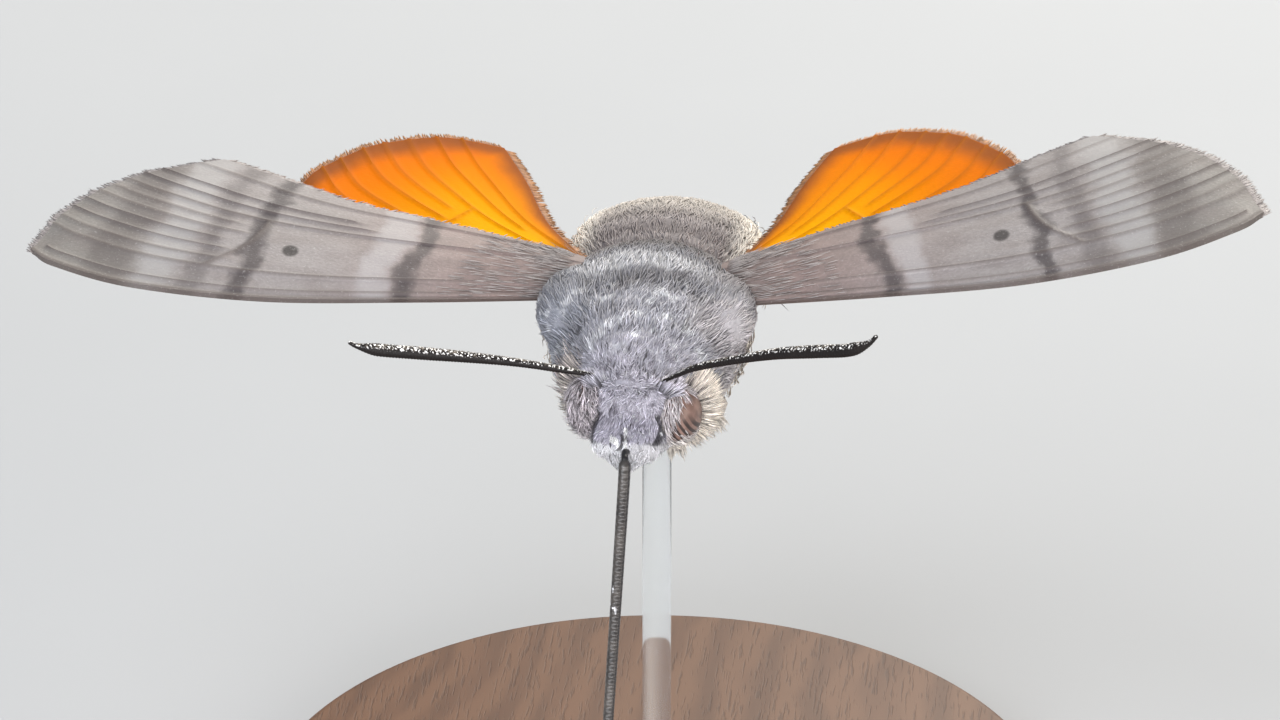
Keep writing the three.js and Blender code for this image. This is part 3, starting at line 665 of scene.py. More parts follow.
def markings(finish):
    """The coat's colours at a place on the moth."""
    place = finish.place()
    x, y, z = place.split()
    wander = (place.noise(0.9) - 0.5) * 1.1
    line = y + wander
    top = z.rise(0.8, 2.2)
    patches = place.noise(0.6).rise(0.42, 0.7)
    flecks = place.noise(1.5).rise(0.54, 0.63) * y.band(-3.0, 2.2, 1.0)
    saddle = (line + x * -0.38).band(-1.7, 0.2, 0.6) * x.band(0.3, 1.1, 0.9) * top
    color = finish.paint(
        finish.mix(y.rise(-4.5, -6.5), GREY, LAVENDER),
        (patches * 0.45, (0.38, 0.39, 0.44)),
        # The moth's right side of the thorax (x below -1.5) is cooler and darker as painted shade; on its
        # left the front of the thorax gets a pale pink band of painted warm light, and the side further
        # back turns browner.
        (x.rise(-1.5, -3.5) * 0.5 * y.rise(-5, -3), (0.3, 0.33, 0.39)),
        (flecks * 0.75, (0.9, 0.91, 0.96)),
        (x.rise(1.6, 3.6) * y.rise(-2.4, -0.8) * 0.7, (0.5, 0.38, 0.34)),
        (x.rise(1.4, 2.8) * y.band(-3.2, 0.6, 0.9) * 0.6, (0.84, 0.77, 0.77)),
        (saddle * 0.7, DARK),
        (y.rise(-3.4, -1.4) * 0.74 * top, (0.24, 0.24, 0.27)),
        (line.band(-0.3, 0.4, 0.5) * x.band(-0.3, 1.8, 1.6) * 0.75 * top, LIGHT),
        # the dark line over the thorax's rear is painted shadow of the groove where the abdomen meets it
        (line.rise(0.5, 1.6) * 0.9 * top, (0.17, 0.155, 0.16)),
    )

    # The face: low is the height that the camera sees, and bulge runs round each palp.
    face_x, face_y, _ = from_head(x, y, z)
    cheek = (face_x - 0.085).size()
    low = y * 0.452 + z * 0.891
    muzzle = face_y.rise(-0.5, -1.0)
    ragged = (place.noise(2.2) - 0.5) * 0.5 - cheek * cheek * 0.05
    chin = muzzle * (low + ragged).rise(-4.6, -4.8)
    bulge = cheek + (low + 4.25) * (low + 4.25) * 0.4
    # The dark rims round the palps are partly a dark scale line and partly painted shade in the groove
    # against the cheeks; a fainter dark line runs along the muzzle's lower edge.
    rim = bulge.band(1.35, 0.08, 0.07) * face_y.rise(-0.2, -0.6) * low.band(-4.1, 0.55, 0.12)
    rim = rim.most(low.band(-4.64, 0.02, 0.07) * muzzle * cheek.rise(0.7, 1.2) * 0.5)
    glint = (face_x + 0.2).size().rise(0.24, 0.16) * (low + face_x * 0.5).band(-4.66, 0.11, 0.06)
    crest = (face_x - 0.26 + (low + 4.6) * 0.25).size().rise(0.1, 0.04) * low.band(-4.5, 0.4, 0.1)
    bent = (face_x - 0.16 + (low + 4.6) * (low + 4.6) * 1.6).size()
    # The slit mark is painted shadow in the cleft where the palps meet.
    slit_shadow = bent.rise(0.1, 0.04) * face_y.rise(-1.9, -2.2) * low.band(-4.62, 0.3, 0.08)
    facial = y.rise(-4.5, -6.5) * (1 - chin)
    color = finish.paint(
        color,
        (muzzle * low.rise(-3.5, -3.8) * 0.45, (0.42, 0.4, 0.5)),
        # the chin's half toward the moth's left is greyed by up to half, as painted shade
        (chin, finish.mix(face_x.rise(0.2, 0.8) * 0.5, WHITE, (0.6, 0.57, 0.6))),
        (glint.most(crest) * muzzle, (1.0, 1.0, 1.0)),
        (rim.most(slit_shadow) * 0.9, BLACK),
        (place.noise(2.6).rise(0.53, 0.68) * facial * 0.65, (0.22, 0.2, 0.25)),
        (place.noise(3.3).rise(0.6, 0.68) * facial * 0.6, WHITE),
    )

    # The abdomen: each ring is pale along its edge; the top of the rear rings turns cream, partly pale fur
    # and partly painted backlight on the rim; the flanks are cream fur brightened near white as painted
    # backlight; and the belly is pale.
    abdomen = y.rise(2.2, ABDOMEN_FRONT)
    down = y - ABDOMEN_FRONT
    drop = down.most(0)
    above = z - (drop * -0.14 - drop * drop * SAG)
    phase = (down * (SEGMENTS / ABDOMEN_REACH) + wander * 0.12).part()
    rings = finish.mix(phase.rise(0.2, 0.8) * phase.rise(1.0, 0.85), BROWN, (0.34, 0.3, 0.305))
    # cream over the top of the rear rings: pale fur with painted backlight on the rim
    rings = finish.mix(y.rise(6, 10.5) * y.rise(15.5, 12) * 0.62, rings, CREAM)
    side_on = x.size() / (girth(down / ABDOMEN_REACH) * ABDOMEN_HALF[0])
    # the flank mark is cream fur brightened near white as painted backlight
    flank_and_backlight = side_on.rise(0.58, 0.95) * above.rise(-1.6, -0.8) * y.rise(3.6, 4.6)
    # The waist mark is painted shadow in the groove between thorax and abdomen.
    waist_shadow = line.band(ABDOMEN_FRONT, 0.8, 0.8) * x.band(0.3, 1.3, 1.6) * z.rise(0.8, 1.6)
    below = finish.mix(abdomen, above.rise(-0.6, -1.9), above.rise(-0.8, -1.8) * 0.8)
    return finish.paint(
        color,
        (abdomen, rings),
        # cream flanks, lit near white by painted backlight
        (flank_and_backlight * 0.95, (1.0, 0.95, 0.86)),
        # painted shadow at the waist
        (waist_shadow * 0.7, DARK),
        (below, finish.mix(y.rise(-6, -4), WHITE, CREAM)),
    )


def streaked(finish):
    """Bunches are black, grey or cream by their pale value."""
    pale = finish.attribute("pale")
    dull = finish.mix(pale.rise(0, 0.65), (0.035, 0.03, 0.03), (0.56, 0.49, 0.49))
    return finish.mix(pale.rise(0.62, 0.98), dull, CREAM)


def coat_material(name, root_shade=0.26, contrast=1.0, streaks=0):
    """The coat's finish, with painted shade darkening each tuft towards its root, a random tone from
    tuft to tuft, painted shade on some darker tufts and painted glints on the palest. streaks is how far
    the bunches' own colours stand in for the markings."""
    finish = Finish(name)
    color = streaked(finish) if streaks == 1 else markings(finish)
    if 0 < streaks < 1:
        color = finish.mix(streaks, color, streaked(finish))
    reach, tone = finish.attribute("reach"), finish.attribute("tone")
    # dark is painted shade between the strands on the darkest tufts, pale is painted glints on the palest;
    # shade grows from root_shade at the root, as painted shade down among the tufts
    dark = tone.rise(0.22, 0.16) * 0.55
    pale = tone.rise(0.84, 0.9) * 0.45 + tone.rise(0.955, 0.965) * 0.5
    shade = (root_shade + (1.24 - root_shade) * reach) * (0.95 + (tone - 0.5) * 0.9 * contrast)
    shade = shade * (1 - dark * contrast) + pale * contrast * reach
    light = (0.18, (0.62, 0.58, 0.56))
    return finish.surface(through=light, Base_Color=color.shade(shade), Roughness=0.6)


coat_plain = coat_material("scale_coat")
coat_muzzle = coat_material("scale_muzzle", root_shade=0.34, contrast=1.6)
coat_face = coat_material("scale_face", root_shade=0.28, contrast=1.3)
coat_thorax = coat_material("scale_thorax", root_shade=0.34, contrast=0.65)
coat_soft = coat_material("scale_abdomen", root_shade=0.55, contrast=0.3)
coat_bunch = coat_material("scale_bunches", root_shade=0.68, streaks=1)
coat_brow = coat_material("scale_brow", root_shade=0.24, contrast=1.05, streaks=0.55)
under = Finish("skin_under_coat")
rough = under.place().noise(8)
color = markings(under).shade(0.34 + rough * 0.3)
FLESH = ["head", "collar", "thorax", "abdomen"]
FLESH += [f"{part}_{word}" for part in ("palp", "tegula") for word in SIDES.values()]
to_place(skin)
dress(skin, under.surface(rough, depth=0.03, Base_Color=color, Roughness=0.8), "coat_grey", *FLESH)
FINISHES = {
    "coat_palps": (coat_muzzle, "coat_grey"),
    "coat_face": (coat_face, "coat_grey"),
    "coat_thorax_top": (coat_thorax, "coat_grey"),
    "coat_abdomen_top": (coat_soft, "coat_grey"),
    "coat_ruff": (coat_bunch, "coat_pale"),
    "coat_breast": (coat_bunch, "coat_pale"),
    "coat_flanks": (coat_bunch, "coat_pale"),
    "tail_brush": (coat_bunch, "coat_dark", "tail_fan"),
}
for name, piece in coats.items():
    dress(piece, *FINISHES.get(name, (coat_plain, "coat_grey")))

# Eyes
# Large smooth domes of brown horn set in the sides of the head, with slanting dark bands under a
# thin gloss. The coat of the brow laps over their rims, pale fluff stands on the cheeks behind them,
# and a small tuft rings each antenna's seat.
EYE_COVER = {1: 1.42, -1: 2.15}  # how far out from the head's middle the coat laps over each eye
LASH_LIE = (0.25, -0.5, -0.85)  # the coat falls over both eyes like this
EYE_BAND = 0.24  # from one dark band to the next
CHEEK = {"width": 0.44, "count": 190, "splay": 0.34}
SEAT_TUFT = {"length": 0.62, "width": 0.22, "count": 50, "splay": 0.3}
SEAT = (1.4, -0.5, 1.5)  # of the left antenna, on the head


def eye_horn(side):
    horn = Finish("eye_horn")
    place = horn.place()
    x, y, z = place.split()
    slant = z * 0.5 + x * 0.95 * side
    bands = (slant * (2 * math.pi / EYE_BAND) + place.noise(1.2) * 3).wave().rise(-0.5, 0.3)
    bands = bands * (z + x * 0.4 * side).rise(1.15, 0.6)
    mottle = place.noise(2.2).rise(0.35, 0.7)
    color = horn.paint(
        horn.mix(mottle * 0.7, (0.15, 0.086, 0.068), (0.3, 0.19, 0.155)),
        ((from_head(x, y, z)[0] * side).rise(2.1, 1.45) * 0.8, (0.03, 0.016, 0.014)),
        (bands * 0.95, (0.018, 0.009, 0.008)),
    )
    facets = horn.node("TexVoronoi", {}, {"Vector": place, "Scale": 20.0})
    return horn.surface(facets, depth=0.004, Base_Color=color, Roughness=0.42, Coat_Weight=0.12)


def in_fixed_order(surface):
    """The same triangles sorted by place: Blender lists a new sphere's faces in any order, and
    what is scattered on them has to fall the same each time."""
    order = np.lexsort(surface[0].reshape(-1, 9).T)
    return [part[order] for part in surface]


lashes, cheeks, brows = [], [], []
for side, word in SIDES.items():
    eye = ball(on_head(side * EYE[0], *EYE[1:]), EYE_HALF, HEAD_TURN, segments=96, rings=64)
    eye.name = f"eye_of_{word}"
    bpy.ops.object.shade_smooth()
    dome = in_fixed_order(surface_of(eye))
    x, y, z = from_head(*dome[0].mean(1).T)
    out = side * x
    lapped = (out < EYE_COVER[side] + 0.45 * z) & (out > 1.0) & (y < 0.4)
    crossed = (out < 2.25) & (z < 0.35) & (out > 1.2) & (y < 0.1)
    edge = np.minimum(-0.6 + 0.5 * (out - 1.27) + 2.0 * np.maximum(out - 1.95, 0), -0.05)
    cheek = (z < edge) & (y < 0.2)
    for chosen, thick_set, fall in (
        (lapped, 260, LASH_LIE),
        (crossed, 22, (0.7 * side, -0.3, -0.8)),
        (cheek, 230, (0.45 * side, 0.3, -0.5)),
    ):
        root, normal = scatter(dome, chosen, thick_set)
        lie = along_skin(np.array(fall), normal, 0.2 if side > 0 else 0.42)
        long = chance.uniform(0.45, 0.8, len(root)) * (1 if side > 0 else 1.4)
        # the brow and cheek coat on the moth's right is greyer, as painted shade
        pale = 0.66 if side < 0 else 0.97 if fall is not LASH_LIE else 0.78
        lashes.append((root, normal, lie, long, np.full(len(root), pale)))
    to_place(eye)
    dress(eye, eye_horn(side), "eye_brown", f"eye_{word}")
for side in SIDES:
    for turn in range(-100, 62, 18):
        out, rise = about(turn, side)
        # the cheek fluff on the moth's right is less pale, as painted shade
        long, pale = (1.1, 0.94) if side > 0 else (1.4, 0.8)
        pale = pale - 0.14 * slope_in(rise, 0.2, 0.9)
        for row in (0, 1):
            root = on_head(side * EYE[0] + 0.5 * out, 0.45 + 0.5 * row, EYE[2] + 0.85 * rise)
            way = on_head(side * EYE[0] + 1.7 * out, 0.3 + 1.1 * row, EYE[2] + 1.9 * rise) - root
            cheeks.append((bunch(root, way, (0.3 * out, -1, 0.3 * rise), long, **CHEEK), pale))
    seat = on_head(side * SEAT[0], SEAT[1], SEAT[2] - 0.1)
    for turn in range(0, 360, 30):
        ring = Vector((*about(turn), 0))
        lie = Vector((side * 0.45, 0.35, 0.35)) + 0.2 * ring
        brows.append((bunch(seat + 0.3 * ring, lie, (0, -0.3, 1), **SEAT_TUFT), 0.5))
dress(bunches("coat_antenna_seats", brows, width=0.045), coat_plain, "coat_grey")
dress(bunches("coat_cheeks", cheeks, width=0.036, curl=0.55), coat_bunch, "coat_pale")
root, normal, lie, long, pale = (np.concatenate(part) for part in zip(*lashes))
lift = chance.uniform(0.05, 0.25, len(root)) + 0.25 * (root[:, 0] < 0)
width = np.full(len(root), 0.042)
brow = tufts("coat_brow", root, normal, lie, long, width, lift, 0.35 * long, body_unwrap(root))
mark(brow.data, "pale", np.repeat(pale + chance.normal(0, 0.05, len(root)), TUFT_POINTS))
dress(brow, coat_brow, "coat_grey")

# Antennae
# Slender black rods that thicken to a club and end in a small hook. They are ringed, paler with
# scales along the upper edge, where white specks are painted glints, and seated in the vertex of the
# head.
ANTENNA_LENGTH = 9.8
ANTENNA_SWEEP = math.radians(20)
ANTENNA_RINGS = 84
ANTENNA_RISE = {1: 5.1, -1: 1.7}  # how far the tips stand over their seats
STEPS_BETWEEN = 24  # steps of a curve between two of the points that it goes through
ANTENNA_RUN = (  # share of the length, share of the rise, and how far behind the line
    (-0.025, -0.02, 0), (0.05, 0.08, 0), (0.14, 0.2, 0), (0.33, 0.42, 0), (0.53, 0.59, 0),
    (0.72, 0.72, 0), (0.87, 0.82, 0), (0.96, 0.92, 0.05), (1.0, 1.0, 0.18),
)


def smooth_line(knots, share):
    """A smooth line through its knots, at shares of the knots' run."""
    knots = np.array(knots, float)
    knots = np.concatenate((2 * knots[:1] - knots[1:2], knots, 2 * knots[-1:] - knots[-2:-1]))
    run = np.clip(share, 0, 1) * (len(knots) - 3)
    first = np.minimum(run.astype(int), len(knots) - 4)
    t = (run - first)[:, None]
    a, b, c, d = (knots[first + i] for i in range(4))
    bend = 2 * b + (c - a) * t + (2 * a - 5 * b + 4 * c - d) * t * t
    return 0.5 * (bend + (3 * b - a - 3 * c + d) * t**3)


def run_of(line):
    """How far along a line each of its points is."""
    return np.concatenate(([0], np.cumsum(np.linalg.norm(np.diff(line, axis=0), axis=1))))


def curve_through(points, count):
    """Points spread evenly on a smooth curve through a few given ones."""
    line = smooth_line(points, np.linspace(0, 1, STEPS_BETWEEN * (len(points) - 1) + 1))
    run = run_of(line)
    even = np.linspace(0, run[-1], count)
    return np.stack([np.interp(even, run, axis) for axis in line.T], axis=1)


def rod(points, radii, sides=14, name="rod"):
    """A smooth tube along points, as a curve with a round bevel turned into a mesh."""
    line = bpy.data.curves.new(name, "CURVE")
    line.dimensions = "3D"
    line.bevel_depth = 1
    line.bevel_resolution = sides // 4 - 1
    line.use_fill_caps = True
    run = line.splines.new("POLY")
    run.points.add(len(points) - 1)
    for spot, point, radius in zip(run.points, points, radii):
        spot.co = (*point, 1)
        spot.radius = radius
    select(placed(name, line))
    bpy.ops.object.convert(target="MESH")
    bpy.ops.object.shade_smooth()
    return bpy.context.object


horn = Finish("antenna_horn")
place = horn.place()
scales = place.noise(5.5)
up_share = horn.node("NewGeometry", output="Normal").split()[2]
# white specks on the faces that look up are painted glints
glint_specks = place.noise(11).rise(0.56, 0.6) * up_share.rise(0.3, 0.7)
color = horn.paint(
    horn.mix(place.noise(1.2), (0.005, 0.004, 0.004), (0.014, 0.01, 0.009)),
    (up_share.rise(0.45, 0.95) * scales.rise(0.48, 0.62) * 0.35, (0.4, 0.34, 0.27)),
    (glint_specks, (0.92, 0.9, 0.87)),
)
dull = {"Roughness": 0.55, "Specular_IOR_Level": 0.25}
antenna_horn = horn.surface(scales, depth=0.03, Base_Color=color, **dull)
for side, word in SIDES.items():
    line = []
    for share, lift, behind_it in ANTENNA_RUN:
        out = share * ANTENNA_LENGTH
        x = side * (SEAT[0] + out * math.cos(ANTENNA_SWEEP))
        y = SEAT[1] - out * math.sin(ANTENNA_SWEEP) + behind_it
        seat = 0.24 * slope_in(share, 0.35, 0.1) if side > 0 else 0
        line.append(on_head(x, y, SEAT[2] + lift * ANTENNA_RISE[side] + seat))
    points = curve_through(line, ANTENNA_RINGS * 3 + 1)
    t = np.linspace(0, 1, len(points))
    club = 0.075 + 0.075 * slope_in(t, 0, 0.22) + 0.105 * slope_in(t, 0.2, 0.75)
    club = club - 0.17 * slope_in(t, 0.88, 0.99)
    club[-1] = 0.03
    ridge = 1 + 0.05 * np.cos(t * ANTENNA_RINGS * 2 * math.pi)
    antenna = rod(points, club * ridge, 20, f"antenna_of_{word}")
    to_place(antenna)
    dress(antenna, antenna_horn, "horn_black", f"antenna_{word}")

# Proboscis
# Two hollow halves zipped into one long tube of glossy grey horn, ringed all along. It comes out
# between the palps, bends down at its knee and hangs straight, thinner to the tip.
HANG = math.radians(27)  # how far forward of plumb it hangs
HANG_ASIDE = math.sin(math.radians(1.5))
HANG_LENGTH = 22.6
TUBE_STEPS = 260
DOWN = np.array((-HANG_ASIDE, -math.sin(HANG), -math.cos(HANG)))
knee = np.array(on_head(0.47, -3.1, -0.6))
line = [on_head(0.1, -1.2, -0.85), on_head(0.33, -2.3, -0.62), knee + (-0.05, 0.35, 0.1)]
line += [knee + DOWN * HANG_LENGTH * share for share in (0.03, 0.2, 0.4, 0.7, 1.0)]
tube = curve_through(line, TUBE_STEPS)
run = run_of(tube)
thick = (0.25 - 0.09 * np.linspace(0, 1, len(tube))) * (1 - 0.42 * slope_in(run, 2.12, 1.96))
thick[-3:] *= (0.9, 0.7, 0.4)
proboscis = rod(tube, thick, 24, "proboscis")
spots = read(proboscis.data.vertices, "co", 3)
nearest = np.argmin(np.linalg.norm(spots[:, None] - tube[None], axis=2), axis=1)
offset = spots - tube[nearest]
aside = offset[:, 0] / np.maximum(thick[nearest], 0.02)
groove = 1 - 0.24 * np.exp(-((aside / 0.28) ** 2))  # where the halves meet, before and behind
spots = tube[nearest] + offset * groove[:, None]
proboscis.data.vertices.foreach_set("co", spots.ravel())
mark(proboscis.data, "run", run[nearest])
to_place(proboscis)
tongue = Finish("proboscis_horn")
place = tongue.place()
rings = (place.split()[2] * 26 + place.noise(0.8) * 2).wave()
side_on = tongue.node("NewGeometry", output="Normal").split()[0]
glints = place.noise(3.4, 2, (1, 1, 0.5)).rise(0.66, 0.72) * side_on.rise(0.3, -0.2)
color = tongue.paint(
    tongue.mix(place.noise(1.1).rise(0.35, 0.7), (0.032, 0.028, 0.026), (0.085, 0.074, 0.066)),
    # the tube's side facing the moth's left is darkened as painted shade, and the glints are painted
    # highlights on the side facing its right
    (side_on.rise(0.1, 0.7) * 0.85, (0.02, 0.016, 0.017)),
    (tongue.attribute("run").rise(2.17, 1.92), (0.008, 0.007, 0.008)),
    (glints, (0.85, 0.85, 0.88)),
)
tongue_horn = tongue.surface(rings, Base_Color=color, Roughness=0.3, Coat_Weight=0.3)
TUBE_NODES = ("proboscis_base", "proboscis_shaft", "proboscis_tip")
dress(proboscis, tongue_horn, "horn_glossy", *TUBE_NODES)

# Wings
# Thin stiff sheets clothed in tiny scales, held by veins that run out from the root and stand up on
# both faces, with a thick leading edge and a fringe of long scales behind. Forewings are brown-grey
# with dark wavy lines; hindwings are orange, let light through, and are browner to the edge.
WINGS = {  # edge lines as span and chord; veins as share of the chord, start and end; cell: end, low, high
    "forewing": {
        "hinge": (3.4, -0.8, 1.45), "sweep": 8, "pitch": 13, "camber": 0.5, "bend": 0.9,
        "leading": ((-0.9, 0), (6, -0.55), (12, -0.75), (17.2, 0), (20.3, 1.4), (21.2, 2.5)),
        "outer": ((21.2, 2.5), (19.7, 5.1), (17.1, 7.3), (13.6, 8.9)),
        "trailing": ((-0.9, 2.6), (3.6, 4.1), (8.4, 5.7), (11.6, 7.5), (13.6, 8.9)),
        "veins": (
            (0.07, 0.02, 0.92), (0.2, 0.02, 1), (0.27, 0.5, 1), (0.35, 0.52, 1), (0.42, 0.55, 1),
            (0.49, 0.52, 1), (0.56, 0.56, 1), (0.63, 0.02, 1), (0.7, 0.36, 1), (0.77, 0.4, 1),
            (0.91, 0.02, 1),
        ),
        "cell": (0.52, 0.2, 0.63),
        "grid": (190, 84),
    },
    "hindwing": {
        "hinge": (3.75, 1.7, 0.6), "sweep": -4, "pitch": 10, "camber": 0.35, "bend": 0.35,
        "leading": ((-0.9, 0), (3.5, -0.5), (7.5, -0.45), (10.9, 0.6), (12, 2.3)),
        "outer": ((12, 2.3), (11.2, 5.2), (9.2, 7.7), (6.6, 9.1), (4.1, 9.3)),
        "trailing": ((-0.9, 1.9), (1.3, 4.2), (2.7, 6.9), (4.1, 9.3)),
        "veins": (
            (0.1, 0.02, 0.9), (0.28, 0.02, 1), (0.36, 0.5, 1), (0.45, 0.48, 1), (0.53, 0.52, 1),
            (0.62, 0.02, 1), (0.72, 0.3, 1), (0.82, 0.02, 1),
        ),
        "cell": (0.48, 0.28, 0.62),
        "grid": (120, 90),
    },
}
STROKE = {1: 16, -1: 6}  # degrees that each side's wings are raised
SHEET = 0.09  # thickness of the sheet
VEIN_THICK = 0.27  # and at a vein
FRINGE_HAIRS = 520  # along each of the two edges
FRINGE_SIZE = (0.6, 0.1)  # length and width
ROOT_HAIR_SIZE = (0.75, 0.045)


def on_wing(wing, side, along, across):
    """Points of a wing's middle sheet; along and across are arrays of shares of its span and chord."""
    front, rear = smooth_line(wing["leading"], along), smooth_line(wing["trailing"], along)
    low, high = np.array(wing["leading"][0]), np.array(wing["trailing"][0])
    far_low, far_high = np.array(wing["leading"][-1]), np.array(wing["trailing"][-1])
    s, t = along[:, None], across[:, None]
    flat = front * (1 - t) + rear * t
    flat = flat + (low * (1 - t) + high * t) * (1 - s) + smooth_line(wing["outer"], across) * s
    flat = flat - (low * (1 - s) + far_low * s) * (1 - t) - (high * (1 - s) + far_high * s) * t
    crown = wing["camber"] * 4 * across * (1 - across) * (1 - 0.5 * along) - wing["bend"] * along**2
    crown = crown + 0.05 * np.cos(across * 26) * (1 - across) * along
    stance = Matrix.Translation(wing["hinge"])
    for turn, axis in ((STROKE[side], "Y"), (-wing["pitch"], "X"), (wing["sweep"], "Z")):
        stance = stance @ Matrix.Rotation(math.radians(-turn), 4, axis)
    points = np.column_stack((flat, crown, np.ones(len(crown)))) @ np.array(stance).T
    return points[:, :3] * (side, 1, 1), flat


def vein_at(wing, along, across):
    """1 on a vein, 0 off it; a cross vein closes the cell."""
    thick = np.exp(-((across / 0.02) ** 2)) * 1.5
    for place, start, end in wing["veins"]:
        half = 0.007 + 0.006 * (1 - along)
        run = slope_in(along, start - 0.03, start + 0.02)
        if end < 1:
            run = run * slope_in(along, end + 0.02, end - 0.02)
        thick = np.maximum(thick, np.exp(-(((across - place) / half) ** 2)) * run)
    stop, low, high = wing["cell"]
    inside = slope_in(across, low - 0.01, low + 0.01) * slope_in(across, high + 0.01, high - 0.01)
    bow = stop - 0.025 * np.sin((across - low) / (high - low) * math.pi)
    return np.maximum(thick, np.exp(-(((along - bow) / 0.006) ** 2)) * inside)


def wing_sheet(name, wing, side):
    rows, columns = wing["grid"]
    along = np.repeat(np.linspace(0, 1, rows), columns)
    across = np.tile(np.linspace(0, 1, columns), rows)
    points, flat = on_wing(wing, side, along, across)
    corner = np.arange((rows - 1) * columns).reshape(rows - 1, columns)[:, :-1].ravel()
    quads = np.stack((corner, corner + columns, corner + columns + 1, corner + 1), axis=1)
    mesh = bpy.data.meshes.new(name)
    mesh.from_pydata((points * MM + np.array(HOVER)).tolist(), [], quads[:, ::side].tolist())
    mesh.update()
    veins = np.clip(vein_at(wing, along, across), 0, 1.5)
    values = {"span": flat[:, 0], "chord": flat[:, 1], "across": across, "along": along, "vein": veins}
    for key, value in values.items():
        mark(mesh, key, value)
    made = placed(name, mesh)
    select(made)
    group = made.vertex_groups.new(name="thick")
    for level in range(16):
        chosen = np.where(np.round(np.clip(veins, 0, 1) * 15) == level)[0]
        group.add(chosen.tolist(), max(level / 15, 0.001), "REPLACE")
    thickness = {"thickness": VEIN_THICK * MM, "thickness_vertex_group": SHEET / VEIN_THICK}
    shape(made, "SOLIDIFY", offset=0, vertex_group="thick", **thickness)
    bpy.ops.object.shade_smooth_by_angle(angle=math.radians(60))
    return made


def fringe(name, wing, side, hair):
    """Long scales along the outer and trailing edges and a sleeve of hair on the wing's root."""
    count = FRINGE_HAIRS
    t, ends = np.sort(chance.random(count)), np.ones(count)
    edge = np.concatenate((np.stack((t, ends), 1), np.stack((ends, t), 1)))
    inner = np.where(edge[:, :1] >= 1, edge - (0.03, 0), edge - (0, 0.04))
    root, inward = (on_wing(wing, side, *places.T)[0] for places in (edge, inner))
    lie = unit(root - inward + chance.normal(0, 0.02, root.shape))
    low = np.stack((0.02 + 0.14 * chance.random(hair) ** 1.7, chance.uniform(0.02, 0.98, hair)), 1)
    around = (low, low + (0.05, 0), low + (0, 0.02))
    base, out, aside = (on_wing(wing, side, *places.T)[0] for places in around)
    upright = unit(np.cross(out - base, aside - base)) * side
    face = np.where(chance.random(hair) < 0.6, 1.0, -1.0)[:, None]
    root = np.concatenate((root - lie * 0.1, base + upright * face * 0.12))
    lie = np.concatenate((lie, unit(out - base + chance.normal(0, 0.03, base.shape))))
    flat = np.tile(unit(upright.mean(0)), (2 * count, 1))
    normal = laid(np.concatenate((flat, upright * face)), lie)
    pairs = zip(FRINGE_SIZE, ROOT_HAIR_SIZE)
    long, broad = (np.concatenate((np.full(2 * count, a), np.full(hair, b))) for a, b in pairs)
    long = long * chance.uniform(0.75, 1.1, len(long))
    lift = np.concatenate((np.zeros(2 * count), np.full(hair, 0.2)))
    curl = np.full(len(long), 0.05)
    return tufts(name, root, normal, lie, long, broad, lift, curl, np.concatenate((edge, low)))


def forewing_finish():
    scales = Finish("forewing_scales")
    place = scales.place()
    span, chord = scales.attribute("span"), scales.attribute("chord")
    wavy = (place.noise(0.4) - 0.5) * 1.8 + (place.noise(1.7) - 0.5) * 0.7
    out = span + chord * 0.32 + wavy
    grain = place.noise(7, 4, (1, 1.6, 1))
    clouds = place.noise(0.8, 4, (0.6, 1.4, 1)).rise(0.4, 0.7)
    off_span, off_chord = span - 10.9, chord - 1.9
    dot = (off_span * off_span + off_chord * off_chord).rise(0.16, 0.05)
    color = scales.paint(
        scales.mix(span.rise(2, 11), (0.27, 0.2, 0.185), (0.29, 0.265, 0.26)),
        (span.rise(13, 20), (0.22, 0.205, 0.19)),
        (clouds * 0.4, (0.17, 0.14, 0.13)),
    )
    line = (0.055, 0.045, 0.048)
    color = scales.paint(
        scales.mix(grain.rise(0.3, 0.75) * 0.4, color, color.shade(1.55)),
        (out.band(6.4, 0.12, 0.5) * 0.8, line),
        (out.band(13.0, 0.12, 0.45) * 0.85, line),
        (out.band(14.9, 0.1, 0.7) * 0.4, line),
        (out.band(7.6, 0.25, 0.7) * 0.5, (0.5, 0.48, 0.49)),
        (out.band(16.6, 0.3, 0.9) * 0.5, (0.46, 0.45, 0.45)),
        (out.band(18.6, 0.35, 1.1) * 0.6, (0.1, 0.085, 0.08)),
        (dot * 0.9, (0.03, 0.025, 0.025)),
        (span.rise(2.6, 0.4) * 0.4, (0.2, 0.16, 0.15)),
        (scales.attribute("vein").least(1) * 0.7, (0.1, 0.078, 0.07)),
        (place.noise(11, 2).rise(0.6, 0.75) * 0.3, (0.6, 0.58, 0.56)),
    )
    light = (0.2, (0.36, 0.3, 0.27))
    return scales.surface(grain, through=light, Base_Color=color, Roughness=0.62)


def hindwing_finish():
    scales = Finish("hindwing_scales")
    place = scales.place()
    span, chord, across, along, vein = map(
        scales.attribute, ("span", "chord", "across", "along", "vein")
    )
    grain = place.noise(7, 4, (1, 1.5, 1))
    far = along.most(across * 0.96) + (place.noise(0.9) - 0.5) * 0.07
    color = scales.paint(
        scales.mix((span + chord * 0.6).rise(3, 12), (1.0, 0.6, 0.0), (0.9, 0.28, 0.0)),
        (far.rise(0.55, 0.95) * 0.7, (0.72, 0.16, 0.01)),
        (far.rise(0.84, 0.97) * 0.9, (0.2, 0.075, 0.04)),
        (span.rise(1.5, -0.2) * 0.7, (0.2, 0.11, 0.06)),
    )
    color = scales.mix(grain.rise(0.35, 0.75) * 0.3, color, color.shade(1.4))
    color = scales.mix(vein.least(1) * 0.55, color, (0.36, 0.12, 0.02))
    light = (0.5, (1.0, 0.56, 0.0))
    dull = {"Roughness": 0.7, "Specular_IOR_Level": 0.06}
    return scales.surface(grain, through=light, Base_Color=color, **dull)


